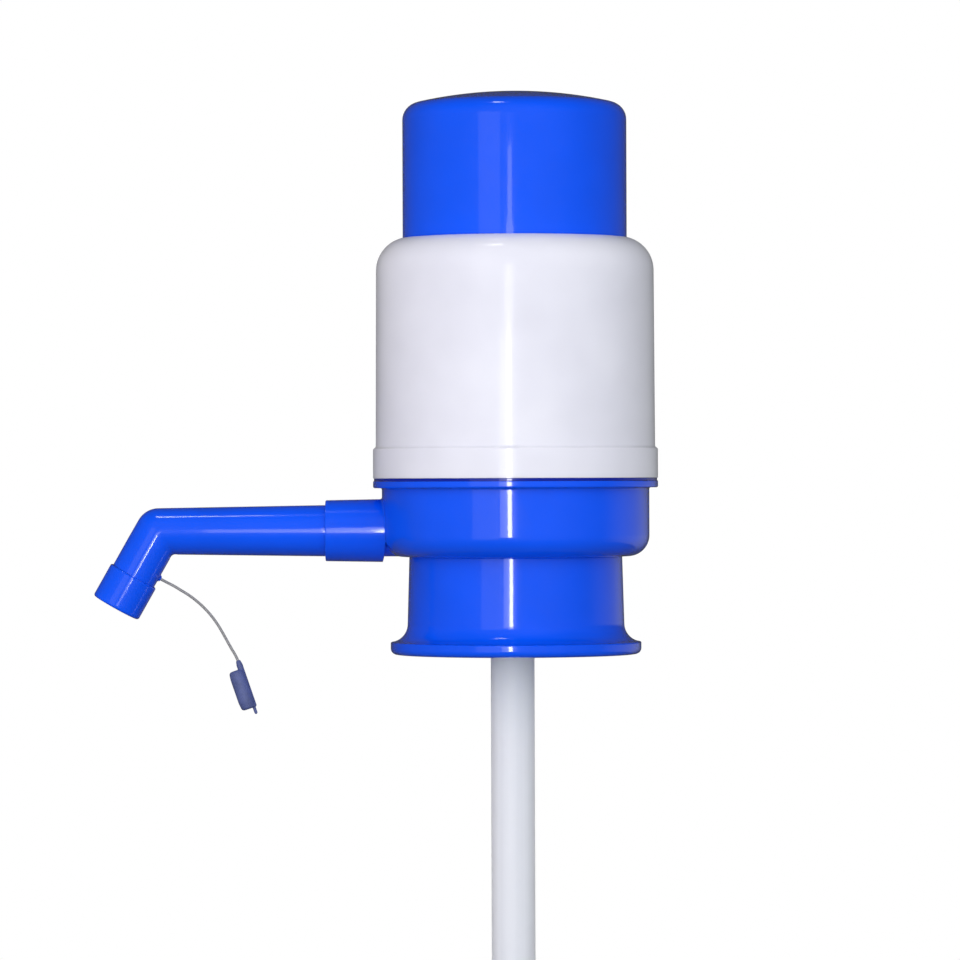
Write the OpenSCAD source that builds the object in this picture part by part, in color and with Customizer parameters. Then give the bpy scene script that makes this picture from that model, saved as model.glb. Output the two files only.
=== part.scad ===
// Hand pump for a water jug: a press cap squeezes a bellows, the air goes down into the jug and
// the water comes up the suction tube and out of the swivelling spout.
// Frame: the origin is the centre of the neck seal's lower face, where the jug's rim meets it.
// +Z points up along the pump and the spout points towards -X. All sizes are millimetres.

/* [Press cap] */
// Outer diameter of the press cap
cap_d = 64; // [62:0.5:66]
// Wall of the press cap
cap_wall = 2; // [1.6:0.1:2.4]
// Height of the cap's crown above the sleeve when it is pressed home
cap_pressed_rise = 6.8; // [6:0.2:10]
// Radius of the crown's shallow dome
cap_crown_r = 127; // [110:1:160]
// Radius of the corner between crown and side
cap_corner_r = 5; // [3.5:0.5:6]
// Number of ribs under the crown
cap_ribs = 6; // [4:1:8]
// Thickness of each rib under the crown
cap_rib_t = 1.6; // [1.2:0.1:2]
// Travel of the cap when it is pressed
stroke = 35; // [30:1:40]
// Distance from the top of the crown down to the pressure disc
crown_room = 6; // [5.5:0.1:7]
// Gap between the cap's stop flange and the side of the sleeve
stop_gap = 1.8; // [1:0.1:2.4]
// Thickness of the cap's stop flange
stop_t = 1.8; // [1.4:0.1:2.4]

/* [Outer sleeve] */
// Width of the rounded shoulder, from the sleeve's side in to its mouth
shoulder_w = 7.3; // [6.5:0.1:7.6]
// Widening of the sleeve's side from its shoulder down to its foot
sleeve_taper = 0.25; // [0.1:0.05:0.6]
// Step from the sleeve's side out to the skirt
skirt_step = 0.8; // [0.6:0.05:1]
// Wall of the sleeve
sleeve_wall = 1.8; // [1.5:0.1:2]
// Radius of the rounded shoulder
sleeve_shoulder_r = 9.5; // [8:0.5:10]
// Height of the sleeve from the foot of its skirt to its mouth
sleeve_h = 68.8; // [66:0.2:72]
// Depth of the guide ring inside the mouth
guide_h = 6.7; // [5:0.1:8]
// Height of the wider skirt at the sleeve's foot
skirt_h = 8.6; // [8:0.2:10]
// Wall of the skirt
skirt_wall = 1.6; // [1.4:0.1:1.8]
// Gap between the cap and the guide ring
cap_gap = 0.35; // [0.3:0.05:0.4]

/* [Base cup] */
// Wall and floor of the cup
cup_wall = 2; // [1.8:0.1:2.2]
// Radius of the cup's lower corner
cup_corner_r = 6; // [5:0.2:6.4]
// Height of the underside of the cup's rim above the jug's rim
rim_z = 21.9; // [21.4:0.1:22.4]
// Thickness of the cup's rim
rim_t = 2.2; // [1.8:0.1:2.4]
// Width of the rim beyond the side of the cup
rim_w = 2.5; // [2:0.1:3]
// Height of the spigot inside the skirt
spigot_h = 7; // [6.4:0.2:7.2]
// Radial width of the ledge under the valve plate
ledge_w = 3.2; // [2.6:0.2:4]
// Depth of the ledge under the valve plate
ledge_t = 2.4; // [1.8:0.2:2.6]
// Number of air holes in the floor
air_holes = 7; // [5:1:7]
// Diameter of each air hole
air_hole_d = 4; // [3:0.2:4.4]
// Gap from the tube's boss to the air holes
air_hole_gap = 1.4; // [1:0.1:2]

/* [Neck collar and seal] */
// Bore that passes over the neck of the jug
neck_bore_d = 56.8; // [56.4:0.1:57]
// Wall of the neck collar at its top
collar_wall = 2; // [1.8:0.1:2.4]
// Widening of the collar from its top down to its flare
collar_taper = 0.55; // [0.4:0.05:0.8]
// Depth of the collar below the jug's rim
neck_depth = 25.6; // [24:0.1:30]
// Width of the flange beyond the side of the collar
flange_w = 4.85; // [4.2:0.05:5.4]
// Thickness of the collar's flange
flange_t = 3.5; // [3:0.1:3.8]
// Bevel under the edge of the flange
flange_bevel = 1; // [0.4:0.1:1.6]
// Radius of the hollow flare above the flange
flare_r = 5.2; // [4.6:0.2:6]
// Depth of the ring on the cup that the collar is screwed on
neck_spigot_h = 6; // [5:0.5:8]
// Thickness of the neck seal
seal_t = 2.3; // [2:0.1:2.5]
// Gap from the air holes to the hole in the neck seal
seal_gap = 0.6; // [0.4:0.1:2]

/* [Spout] */
// Height of the spout's axis above the jug's rim
spout_z = 9.8; // [9.6:0.1:10.2]
// Wall of the spout socket at its mouth
socket_wall = 1.35; // [1:0.05:1.7]
// Widening of the socket from its mouth to the cup
socket_taper = 0.35; // [0.2:0.05:0.6]
// Length of the spout socket beyond the side of the cup
socket_l = 16.1; // [14:0.1:19]
// Depth of the socket's bore
socket_depth = 11.8; // [10.6:0.2:12.4]
// Diameter of the spout pipe in its socket
pipe_root_d = 14.6; // [14.4:0.1:14.8]
// Narrowing of the spout pipe from the socket to its elbow
pipe_taper = 0.7; // [0.4:0.05:1]
// Wall of the spout pipe at its elbow
pipe_wall = 1.4; // [1.2:0.05:1.7]
// Length of the spout pipe from the socket's mouth to the elbow
pipe_l = 47.7; // [40:0.1:56]
// Length of the leg from the elbow to the nozzle's end
leg_l = 25; // [24:0.2:28]
// Angle of the leg from straight down
leg_tilt = 29.5; // [20:0.5:40]
// Thickness of the nozzle round the leg
nozzle_wall = 0.65; // [0.6:0.05:1]
// Length of the nozzle
nozzle_l = 10.4; // [10:0.2:12]
// Step from the pipe's bore out to the nozzle's
nozzle_step = 0.6; // [0.4:0.05:0.8]
// Length of the nozzle's mouth beyond the end of the leg
nozzle_mouth_l = 5; // [4:0.2:6]
// Thickness of the O-ring on the spout
o_ring_t = 1.1; // [1:0.05:1.2]

/* [Suction tube] */
// Outer diameter of the suction tube
tube_d = 12.5; // [12.3:0.1:12.7]
// Wall of the suction tube
tube_wall = 1.25; // [1:0.05:1.4]
// Distance of the tube's axis from the pump's axis
tube_offset = 1; // [0:0.1:1.2]
// Length of one section of the suction tube
tube_section = 157; // [140:1:170]
// Height of the tube's upper end above the jug's rim
tube_stop_z = 1; // [0.6:0.1:1.4]
// Depth of the tube's boss below the jug's rim
boss_depth = 14; // [13:0.5:18]
// Wall of the tube's boss round the gland
boss_wall = 1.6; // [1.2:0.1:2]
// Height of the gland round the tube
gland_h = 5; // [4:0.5:6]
// Radial thickness of the gland round the tube
gland_w = 2.15; // [1.8:0.05:2.4]
// Wall of a tube coupler
coupler_wall = 1.4; // [1.1:0.05:1.8]
// Length of a tube coupler
coupler_l = 24; // [20:1:30]
// Thickness of the stop ring inside a coupler
coupler_stop_t = 1.2; // [1:0.1:1.6]
// Depth of the notches in the tube's foot
foot_notch_h = 4; // [3:0.5:6]
// Width of the notches in the tube's foot
foot_notch_w = 2.6; // [2:0.2:3.4]

/* [Bellows and valves] */
// Number of folds in the bellows
folds = 11; // [9:1:12]
// Wall of the bellows
bellows_wall = 1; // [0.8:0.1:1.1]
// Diameter at the foot of a fold
fold_root_d = 44; // [42:0.5:46]
// Thickness of the bellows' end flanges
bellows_flange_t = 1.4; // [1.2:0.1:1.6]
// Gap between the head flange of the bellows and the cap
head_gap = 3; // [2:0.2:4]
// Thickness of the valve plate and of the pressure disc
plate_t = 2; // [1.8:0.1:2.4]
// Number of valve holes in each plate
valve_holes = 6; // [4:1:8]
// Diameter of a valve hole
valve_hole_d = 4.2; // [3:0.2:4.4]
// Diameter of the circle that the valve holes lie on
valve_circle_d = 16; // [15:0.5:18]
// Diameter of a valve disc
valve_disc_d = 26; // [25:0.5:28]
// Thickness of a valve disc
valve_disc_t = 1.2; // [1:0.1:1.3]
// Drop of a valve disc when it opens
valve_lift = 1.5; // [1.2:0.1:1.6]
// Diameter of a valve pin's shank
pin_d = 3.9; // [3.5:0.1:4.2]
// Diameter of a valve pin's head
pin_head_d = 8; // [7:0.5:9]
// Thickness of a valve pin's head
pin_head_t = 0.9; // [0.8:0.05:1]

/* [Tether] */
// Thickness of the tether line
line_d = 0.8; // [0.7:0.05:0.9]
// Distance of the tether's anchor from the elbow along the leg
anchor_s = 11.6; // [11:0.1:12.2]
// Diameter of the stopper on the line
stopper_d = 4.6; // [4:0.2:5]
// Length of the stopper
stopper_l = 11.6; // [10:0.2:13]
// Angle of the stopper from straight down
stopper_tilt = 18.9; // [15:0.1:22]

/* [Clearances] */
// Radial clearance of a push fit or a running fit
fit_gap = 0.05; // [0.03:0.01:0.08]
// Gap between pieces that lie loosely together
loose_gap = 0.3; // [0.2:0.05:0.4]

/* [Hidden] */
$fn = 96;

// Colours of the materials
pump_blue = [0.10, 0.34, 0.96];
milky_white = [0.90, 0.91, 0.95];
tube_white = [0.84, 0.87, 0.94];
rubber_grey = [0.25, 0.26, 0.28];
line_grey = [0.58, 0.58, 0.60];
stopper_slate = [0.28, 0.32, 0.55];

arc_steps = 10;               // segments in a rounded corner of an outline
cut = 0.5;                    // how far a cut runs past the faces it opens
edge_r = 0.5;                 // small rounding or bevel on a moulded edge

// Cap, sleeve, skirt and cup are nested, from the cap outwards
cap_r = cap_d / 2;
cap_bore_r = cap_r - cap_wall;
guide_r = cap_r + cap_gap;
guide_outer_r = guide_r + sleeve_wall;
sleeve_top_r = guide_r + shoulder_w;
sleeve_foot_r = sleeve_top_r + sleeve_taper;
skirt_r = sleeve_foot_r + skirt_step;
skirt_bore_r = skirt_r - skirt_wall;
spigot_r = skirt_bore_r - fit_gap;
cup_r = skirt_r - rim_w;
cup_bore_r = cup_r - cup_wall;

// Base cup: heights
floor_top = seal_t + cup_wall;
rim_top = rim_z + rim_t;
spigot_top = rim_top + spigot_h;

// Valve plate, foot of the bellows and clamp ring are stacked on the cup's ledge
ledge_top = rim_top - edge_r;
plate_top = ledge_top + plate_t;
bellows_foot = plate_top;
clamp_foot = bellows_foot + bellows_flange_t;
plate_r = cup_bore_r - loose_gap;
clamp_bore_r = cup_bore_r - ledge_w - 0.5;

// Outer sleeve
skirt_foot = rim_top + loose_gap;
sleeve_top = skirt_foot + sleeve_h;
shoulder_x = sleeve_top_r - sleeve_shoulder_r;
shoulder_end = acos((guide_r - shoulder_x) / sleeve_shoulder_r);
shoulder_z = sleeve_top - sleeve_shoulder_r * sin(shoulder_end);
guide_foot = sleeve_top - guide_h;
inner_shoulder_r = sleeve_shoulder_r - sleeve_wall;
inner_shoulder_end = acos((guide_outer_r - shoulder_x) / inner_shoulder_r);

// Press cap
crown_z = sleeve_top + stroke + cap_pressed_rise;
crown_centre_z = crown_z - cap_crown_r;
crown_end = asin((cap_r - cap_corner_r) / (cap_crown_r - cap_corner_r));
cap_corner_z = crown_centre_z + (cap_crown_r - cap_corner_r) * cos(crown_end);
stop_top = guide_foot - loose_gap;
stop_r = sleeve_top_r - sleeve_wall - stop_gap;

// Bellows with the pressure disc on its head
head_plate_top = crown_z - crown_room;
head_plate_foot = head_plate_top - plate_t;
bellows_head = head_plate_foot;
fold_root_r = fold_root_d / 2;
fold_crest_r = cap_bore_r - 0.8;
first_fold_z = clamp_foot;
last_fold_z = bellows_head - bellows_flange_t;
fold_pitch = (last_fold_z - first_fold_z) / folds;
head_flange_r = cap_bore_r - head_gap;
head_plate_r = head_flange_r + 0.6;

// Neck collar
neck_bore_r = neck_bore_d / 2;
neck_top_r = neck_bore_r + collar_wall;
neck_foot_r = neck_top_r + collar_taper;
neck_spigot_r = (neck_bore_r + neck_top_r) / 2 - fit_gap;
neck_spigot_foot = -neck_spigot_h;
flange_foot = -neck_depth;
flange_top = flange_foot + flange_t;
flange_r = neck_foot_r + flange_w;

// Suction tube with its gland, boss and couplers
tube_r = tube_d / 2;
tube_bore_r = tube_r - tube_wall;
tube_x = -tube_offset;
socket_r = tube_r + fit_gap;
gland_r = tube_r + gland_w;
boss_r = gland_r + boss_wall;
coupler_r = socket_r + coupler_wall;
upper_tube_foot = tube_stop_z - tube_section;
middle_tube_head = upper_tube_foot - coupler_stop_t;
middle_tube_foot = middle_tube_head - tube_section;
lower_tube_head = middle_tube_foot - coupler_stop_t;
lower_tube_foot = lower_tube_head - tube_section;

// Air holes round the boss, inside the neck seal
air_circle_r = boss_r + tube_offset + air_hole_d / 2 + air_hole_gap;
seal_hole_r = air_circle_r + air_hole_d / 2 + seal_gap;

// Spout: the duct across the cup, the socket and the pipe share one axis
weld = 0.1;                   // keeps the faces of joined shapes from lying in one plane
duct_r = spout_z - seal_t - weld;
duct_bore_r = 4.5;
pipe_root_r = pipe_root_d / 2;
pipe_tip_r = pipe_root_r - pipe_taper;
pipe_bore_r = pipe_tip_r - pipe_wall;
leg_r = pipe_tip_r + 0.05;
nozzle_r = leg_r + nozzle_wall;
nozzle_bore_r = pipe_bore_r + nozzle_step;
socket_bore_r = pipe_root_r + fit_gap;
socket_mouth_r = socket_bore_r + socket_wall;
socket_root_r = socket_mouth_r + socket_taper;
socket_reach = cup_r + socket_l;
socket_floor_x = socket_reach - socket_depth;
pipe_start_x = socket_floor_x + loose_gap;
pipe_straight_x = socket_reach + 1;
elbow_reach = socket_reach + pipe_l;
o_ring_x = pipe_start_x + 4;
o_ring_r = pipe_root_r - o_ring_t / 2;
leg_end_s = leg_l - nozzle_mouth_l;
nozzle_start_s = leg_l - nozzle_l;

// Tether: the line leaves a small lug on the underside of the leg
lug_r = 0.9;
lug_h = 0.6;
line_sink = 0.3;
// Points of the line as [x, z], from the lug to the stopper
line_route = [[-101.4, -3.9], [-99.5, -4.9], [-97.6, -5.9], [-95.8, -7.0], [-94.0, -8.1],
              [-92.3, -9.3], [-90.7, -10.6], [-89.2, -12.0], [-87.8, -13.5], [-86.5, -15.1],
              [-85.3, -16.8], [-84.2, -18.6], [-83.2, -20.4], [-82.2, -22.2], [-81.2, -24.0],
              [-80.3, -25.5], [-79.5, -27.1]];
line_sides = 8;
stopper_r = stopper_d / 2;
stopper_eye_r = 0.9;
stopper_eye_rise = 2.3;
stopper_tail_r = 0.45;
stopper_tail_l = 2.4;

// Points of an arc about c, from angle a0 to a1
function arc(c, r, a0, a1, steps = arc_steps) =
    [for (i = [0:steps]) let (a = a0 + (a1 - a0) * i / steps) c + r * [cos(a), sin(a)]];

// Ring of points about the Z axis, from z0 up to z1
module ring(outer_r, inner_r, z0, z1) {
    difference() {
        translate([0, 0, z0]) cylinder(r = outer_r, h = z1 - z0);
        translate([0, 0, z0 - cut]) cylinder(r = inner_r, h = z1 - z0 + 2 * cut);
    }
}

// Copies its children round the Z axis
module around(count) {
    for (i = [0:count - 1]) rotate([0, 0, i * 360 / count]) children();
}

// Lays its children, drawn along +Z, along the spout's axis from a distance x
module along_spout(x) {
    translate([-x, 0, spout_z]) rotate([0, -90, 0]) children();
}

// Lays its children, drawn along +Z, along the slanted leg from a distance s
module along_leg(s) {
    translate([-elbow_reach, 0, spout_z]) rotate([0, 180 + leg_tilt, 0])
        translate([0, 0, s]) children();
}

module press_cap() {
    inner_corner_r = cap_corner_r - cap_wall;
    outer = concat([[0, crown_z]],
                   arc([0, crown_centre_z], cap_crown_r, 90 - crown_end / 4, 90 - crown_end, 3),
                   arc([cap_r - cap_corner_r, cap_corner_z], cap_corner_r, 90 - crown_end, 0));
    inner = concat(arc([cap_r - cap_corner_r, cap_corner_z], inner_corner_r, 0, 90 - crown_end),
                   arc([0, crown_centre_z], cap_crown_r - cap_wall, 90 - crown_end,
                       90 - crown_end / 4, 3),
                   [[0, crown_z - cap_wall]]);
    color(pump_blue) {
        rotate_extrude()
            polygon(concat(outer, [[cap_r, stop_top], [stop_r, stop_top],
                                   [stop_r, stop_top - stop_t], [cap_bore_r, stop_top - stop_t]],
                           inner));
        around(cap_ribs) cap_rib();
    }
}

// One rib under the crown, standing on the pressure disc
module cap_rib() {
    rib_start = 12;
    rib_end = cap_bore_r - 5;
    rib_top = crown_centre_z + sqrt(cap_crown_r ^ 2 - rib_end ^ 2) - cap_wall / 2;
    translate([rib_start, -cap_rib_t / 2, head_plate_top])
        cube([rib_end - rib_start, cap_rib_t, rib_top - head_plate_top]);
}

// Flat disc with a ring of valve holes and a bore for the valve pin, its underside at z
module valve_seat(radius, z) {
    difference() {
        translate([0, 0, z]) cylinder(r = radius, h = plate_t);
        around(valve_holes) translate([valve_circle_d / 2, 0, z - cut])
            cylinder(d = valve_hole_d, h = plate_t + 2 * cut);
        translate([0, 0, z - cut]) cylinder(r = pin_d / 2 + fit_gap, h = plate_t + 2 * cut);
    }
}

// Push-in pin that holds a valve disc under a plate whose underside is at z
module valve_pin(z) {
    head_z = z - valve_disc_t - valve_lift - 0.1 - pin_head_t;
    barb_h = 0.8;
    translate([0, 0, head_z]) cylinder(d = pin_head_d, h = pin_head_t);
    translate([0, 0, head_z]) cylinder(d = pin_d, h = z + plate_t - head_z + barb_h / 2);
    translate([0, 0, z + plate_t]) cylinder(d1 = pin_d + 1.2, d2 = pin_d, h = barb_h);
}

// Soft disc that closes the valve holes from below
module valve_disc(z) {
    ring(valve_disc_d / 2, pin_d / 2 + loose_gap, z - valve_disc_t, z);
}

module pressure_disc() {
    color(milky_white) valve_seat(head_plate_r, head_plate_foot);
}

module inlet_valve_pin() {
    color(pump_blue) valve_pin(head_plate_foot);
}

module inlet_valve_disc() {
    color(rubber_grey) valve_disc(head_plate_foot);
}

module bellows() {
    crest_r = fold_crest_r - bellows_wall;
    // One fold from its lower root to its upper one, drawn at a wall's offset
    function fold(i, off) = let (z = first_fold_z + i * fold_pitch)
        [[fold_root_r + off, z + 0.12 * fold_pitch], [crest_r + off, z + 0.42 * fold_pitch],
         [crest_r + off, z + 0.58 * fold_pitch], [fold_root_r + off, z + 0.88 * fold_pitch]];
    outside = [for (i = [0:folds - 1]) each fold(i, bellows_wall)];
    inside = [for (i = [folds - 1:-1:0]) let (f = fold(i, 0)) each [f[3], f[2], f[1], f[0]]];
    color(milky_white) rotate_extrude()
        polygon(concat([[fold_root_r, bellows_foot], [plate_r, bellows_foot], [plate_r, clamp_foot],
                        [fold_root_r + bellows_wall, clamp_foot]],
                       outside,
                       [[fold_root_r + bellows_wall, last_fold_z], [head_flange_r, last_fold_z],
                        [head_flange_r, bellows_head], [fold_root_r, bellows_head]],
                       inside));
}

module bellows_clamp_ring() {
    color(pump_blue) ring(cup_bore_r - fit_gap, clamp_bore_r, clamp_foot, spigot_top);
}

module outer_sleeve() {
    skirt_top = skirt_foot + skirt_h;
    step_z = spigot_top + loose_gap;
    body_foot = skirt_top + 0.6;
    outline = concat([[skirt_r - edge_r, skirt_foot], [skirt_r, skirt_foot + edge_r],
                      [skirt_r, skirt_top], [sleeve_foot_r, body_foot]],
                     arc([shoulder_x, shoulder_z], sleeve_shoulder_r, 0, shoulder_end),
                     [[guide_r, sleeve_top], [guide_r, guide_foot], [guide_outer_r, guide_foot]],
                     arc([shoulder_x, shoulder_z], inner_shoulder_r, inner_shoulder_end, 0),
                     [[sleeve_foot_r - sleeve_wall, step_z], [skirt_bore_r, step_z],
                      [skirt_bore_r, skirt_foot]]);
    color(milky_white) rotate_extrude() polygon(outline);
}

module valve_plate() {
    color(milky_white) valve_seat(plate_r, ledge_top);
}

module outlet_valve_pin() {
    color(pump_blue) valve_pin(ledge_top);
}

module outlet_valve_disc() {
    color(rubber_grey) valve_disc(ledge_top);
}

// Round shell of the cup: floor, wall, rim, ledge, spigot and the ring for the collar
module cup_shell() {
    inner_corner_r = cup_corner_r - cup_wall;
    outline = concat([[0, seal_t], [neck_bore_r, seal_t], [neck_bore_r, neck_spigot_foot],
                      [neck_spigot_r, neck_spigot_foot], [neck_spigot_r, seal_t]],
                     arc([cup_r - cup_corner_r, seal_t + cup_corner_r], cup_corner_r, -90, 0),
                     [[cup_r, rim_z], [skirt_r - edge_r, rim_z], [skirt_r, rim_z + edge_r],
                      [skirt_r, rim_top], [spigot_r, rim_top], [spigot_r, spigot_top],
                      [cup_bore_r, spigot_top], [cup_bore_r, ledge_top],
                      [cup_bore_r - ledge_w, ledge_top], [cup_bore_r, ledge_top - ledge_t]],
                     arc([cup_bore_r - inner_corner_r, floor_top + inner_corner_r],
                         inner_corner_r, 0, -90),
                     [[0, floor_top]]);
    rotate_extrude() polygon(outline);
}

module base_cup() {
    riser_top = spout_z + duct_r + 0.3;
    riser_r = duct_r + 0.8;
    first_hole = -120;
    socket_inset = 4;
    color(pump_blue) difference() {
        union() {
            cup_shell();
            // Duct across the cup, the tube's boss below the floor and its riser above it
            translate([tube_x, 0, spout_z]) rotate([0, -90, 0])
                cylinder(r = duct_r, h = cup_r - tube_offset + 0.6);
            translate([tube_x, 0, -boss_depth])
                cylinder(r = boss_r, h = boss_depth + floor_top - weld);
            translate([tube_x, 0, seal_t + weld])
                cylinder(r = riser_r, h = riser_top - seal_t - weld);
            // Tapered socket, ending in the cup's wall
            difference() {
                along_spout(cup_r - socket_inset)
                    cylinder(r1 = socket_root_r, r2 = socket_mouth_r, h = socket_l + socket_inset);
                translate([0, 0, spout_z - 2 * socket_root_r])
                    cylinder(r = cup_r - 2 * weld, h = 4 * socket_root_r);
            }
        }
        // Tube's socket with the gland's seat at its mouth, and the way up into the duct
        translate([tube_x, 0, -boss_depth - cut]) {
            cylinder(r = socket_r, h = boss_depth + tube_stop_z + cut);
            cylinder(r = gland_r + fit_gap, h = gland_h + cut);
        }
        translate([tube_x, 0, tube_stop_z - cut])
            cylinder(r = tube_bore_r, h = spout_z - tube_stop_z + cut);
        // Duct's bore and the socket's bore
        translate([tube_x, 0, spout_z]) rotate([0, -90, 0])
            cylinder(r = duct_bore_r, h = socket_floor_x - tube_offset + cut);
        along_spout(socket_floor_x) cylinder(r = socket_bore_r, h = socket_depth + cut);
        // Air holes, clear of the duct
        for (i = [0:air_holes - 1])
            rotate([0, 0, first_hole - 2 * first_hole * i / (air_holes - 1)])
                translate([air_circle_r, 0, seal_t - cut])
                    cylinder(d = air_hole_d, h = cup_wall + 2 * cut);
    }
}

module neck_collar() {
    shoulder = neck_spigot_foot - loose_gap;
    flare_centre = [neck_foot_r + flare_r, flange_top + flare_r];
    flare_end = 180 + acos((flare_centre[0] - flange_r + edge_r) / flare_r);
    flare_steps = arc(flare_centre, flare_r, 180, flare_end);
    lead_in = 1;
    outline = concat([[neck_spigot_r + fit_gap, seal_t], [neck_spigot_r + fit_gap, shoulder],
                      [neck_bore_r, shoulder], [neck_bore_r, flange_foot + 2 * lead_in],
                      [neck_bore_r + lead_in, flange_foot], [flange_r - flange_bevel, flange_foot],
                      [flange_r, flange_foot + flange_bevel], [flange_r, flange_top]],
                     [for (i = [len(flare_steps) - 1:-1:0]) flare_steps[i]],
                     [[neck_top_r, seal_t]]);
    color(pump_blue) rotate_extrude() polygon(outline);
}

module neck_seal() {
    color(rubber_grey) ring(neck_bore_r - loose_gap, seal_hole_r, 0, seal_t);
}

module tube_gland() {
    color(rubber_grey) translate([tube_x, 0, 0])
        ring(gland_r, tube_r + fit_gap / 2, -boss_depth, gland_h - boss_depth);
}

// A section of the suction tube between two heights
module tube_piece(foot, head) {
    translate([tube_x, 0, 0]) ring(tube_r, tube_bore_r, foot, head);
}

// Sleeve that joins two sections, with a stop ring at the height of their joint
module tube_coupler(stop_z) {
    foot = stop_z - coupler_l / 2;
    head = stop_z + coupler_l / 2;
    stop_foot = stop_z - coupler_stop_t / 2;
    stop_head = stop_z + coupler_stop_t / 2;
    translate([tube_x, 0, 0]) rotate_extrude() polygon([
        [socket_r, foot], [coupler_r - edge_r, foot], [coupler_r, foot + edge_r],
        [coupler_r, head - edge_r], [coupler_r - edge_r, head], [socket_r, head],
        [socket_r, stop_head], [tube_bore_r, stop_head], [tube_bore_r, stop_foot],
        [socket_r, stop_foot]]);
}

module suction_tube_upper() {
    color(tube_white) tube_piece(upper_tube_foot, tube_stop_z);
}

module tube_coupler_upper() {
    color(pump_blue) tube_coupler(upper_tube_foot - coupler_stop_t / 2);
}

module suction_tube_middle() {
    color(tube_white) tube_piece(middle_tube_foot, middle_tube_head);
}

module tube_coupler_lower() {
    color(pump_blue) tube_coupler(middle_tube_foot - coupler_stop_t / 2);
}

// The lowest section ends in crossed notches, so that it can't close itself on the jug's floor
module suction_tube_lower() {
    color(tube_white) difference() {
        tube_piece(lower_tube_foot, lower_tube_head);
        for (turn = [0, 90])
            translate([tube_x, 0, lower_tube_foot]) rotate([0, 0, turn])
                cube([tube_d + 2 * cut, foot_notch_w, 2 * foot_notch_h], center = true);
    }
}

// Round rod along the slanted leg, with a ball end at the elbow
module leg_rod(radius, length) {
    along_leg(0) rotate_extrude()
        polygon(concat(arc([0, 0], radius, -90, 0), [[radius, length], [0, length]]));
}

module spout_pipe() {
    elbow_bore_r = pipe_bore_r + 0.05;
    color(pump_blue) difference() {
        union() {
            along_spout(pipe_start_x) cylinder(r = pipe_root_r, h = pipe_straight_x - pipe_start_x);
            along_spout(pipe_straight_x)
                cylinder(r1 = pipe_root_r, r2 = pipe_tip_r, h = elbow_reach - pipe_straight_x);
            leg_rod(leg_r, leg_end_s);
            // Lug for the tether, square to the leg on its underside
            along_leg(anchor_s) rotate([0, -90, 0]) cylinder(r = lug_r, h = leg_r + lug_h);
        }
        along_spout(pipe_start_x - cut) cylinder(r = pipe_bore_r, h = elbow_reach - pipe_start_x + cut);
        leg_rod(elbow_bore_r, leg_end_s + cut);
        // Groove for the O-ring
        along_spout(o_ring_x - o_ring_t / 2 - 0.15)
            ring(pipe_root_r + cut, pipe_root_r - o_ring_t - fit_gap, 0, o_ring_t + 0.3);
    }
}

module spout_o_ring() {
    color(rubber_grey) along_spout(o_ring_x)
        rotate_extrude() translate([o_ring_r, 0]) circle(d = o_ring_t);
}

module spout_nozzle() {
    socket_end = leg_end_s + weld;
    color(pump_blue) along_leg(0) rotate_extrude() polygon([
        [leg_r + fit_gap, nozzle_start_s], [nozzle_r - edge_r, nozzle_start_s],
        [nozzle_r, nozzle_start_s + edge_r], [nozzle_r, leg_l - edge_r], [nozzle_r - edge_r, leg_l],
        [nozzle_bore_r, leg_l], [nozzle_bore_r, socket_end], [leg_r + fit_gap, socket_end]]);
}

// Tube of line_sides sides swept along the route, which lies in the plane of the spout
module tether_line() {
    count = len(line_route);
    start_dir = [cos(leg_tilt), -sin(leg_tilt)];
    end_dir = [sin(stopper_tilt), -cos(stopper_tilt)];
    path = concat([line_route[0] - line_sink * start_dir], [for (i = [1:count - 2]) line_route[i]],
                  [line_route[count - 1] + line_sink * end_dir]);
    heading = [for (i = [0:count - 1])
        i == 0 ? start_dir : i == count - 1 ? end_dir
               : (path[i + 1] - path[i - 1]) / norm(path[i + 1] - path[i - 1])];
    points = [for (i = [0:count - 1]) for (k = [0:line_sides - 1])
        let (a = 360 * k / line_sides, u = line_d / 2 * cos(a), v = line_d / 2 * sin(a))
            [path[i][0] - heading[i][1] * u, v, path[i][1] + heading[i][0] * u]];
    last = (count - 1) * line_sides;
    sides = [for (i = [0:count - 2]) for (k = [0:line_sides - 1])
        let (a = i * line_sides + k, b = i * line_sides + (k + 1) % line_sides)
            each [[a, b, b + line_sides], [a, b + line_sides, a + line_sides]]];
    ends = [for (k = [1:line_sides - 2]) each [[0, k + 1, k], [last, last + k, last + k + 1]]];
    color(line_grey) polyhedron(points, concat(sides, ends));
}

// Stopper with the line's eye moulded along its outer side and a short tail below
module tether_plug() {
    end_point = line_route[len(line_route) - 1];
    eye_offset = stopper_r - stopper_eye_r + 0.15;
    color(stopper_slate)
        translate([end_point[0], 0, end_point[1]]) rotate([0, 180 - stopper_tilt, 0]) {
            cylinder(r = stopper_eye_r, h = stopper_eye_rise + stopper_l - edge_r);
            translate([eye_offset, 0, stopper_eye_rise]) cylinder(r = stopper_r, h = stopper_l);
            translate([0, 0, stopper_eye_rise + stopper_l - 1])
                cylinder(r = stopper_tail_r, h = stopper_tail_l + 1);
        }
}

press_cap();
pressure_disc();
inlet_valve_pin();
inlet_valve_disc();
bellows();
bellows_clamp_ring();
outer_sleeve();
valve_plate();
outlet_valve_pin();
outlet_valve_disc();
base_cup();
neck_collar();
neck_seal();
tube_gland();
suction_tube_upper();
tube_coupler_upper();
suction_tube_middle();
tube_coupler_lower();
suction_tube_lower();
spout_pipe();
spout_o_ring();
spout_nozzle();
tether_line();
tether_plug();
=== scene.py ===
"""Water jug hand pump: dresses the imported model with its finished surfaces, lights and camera.

Lengths are metres in the frame of the part: +Z up, the spout along -X, and the origin at the
centre of the neck seal's lower face.
"""

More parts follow.
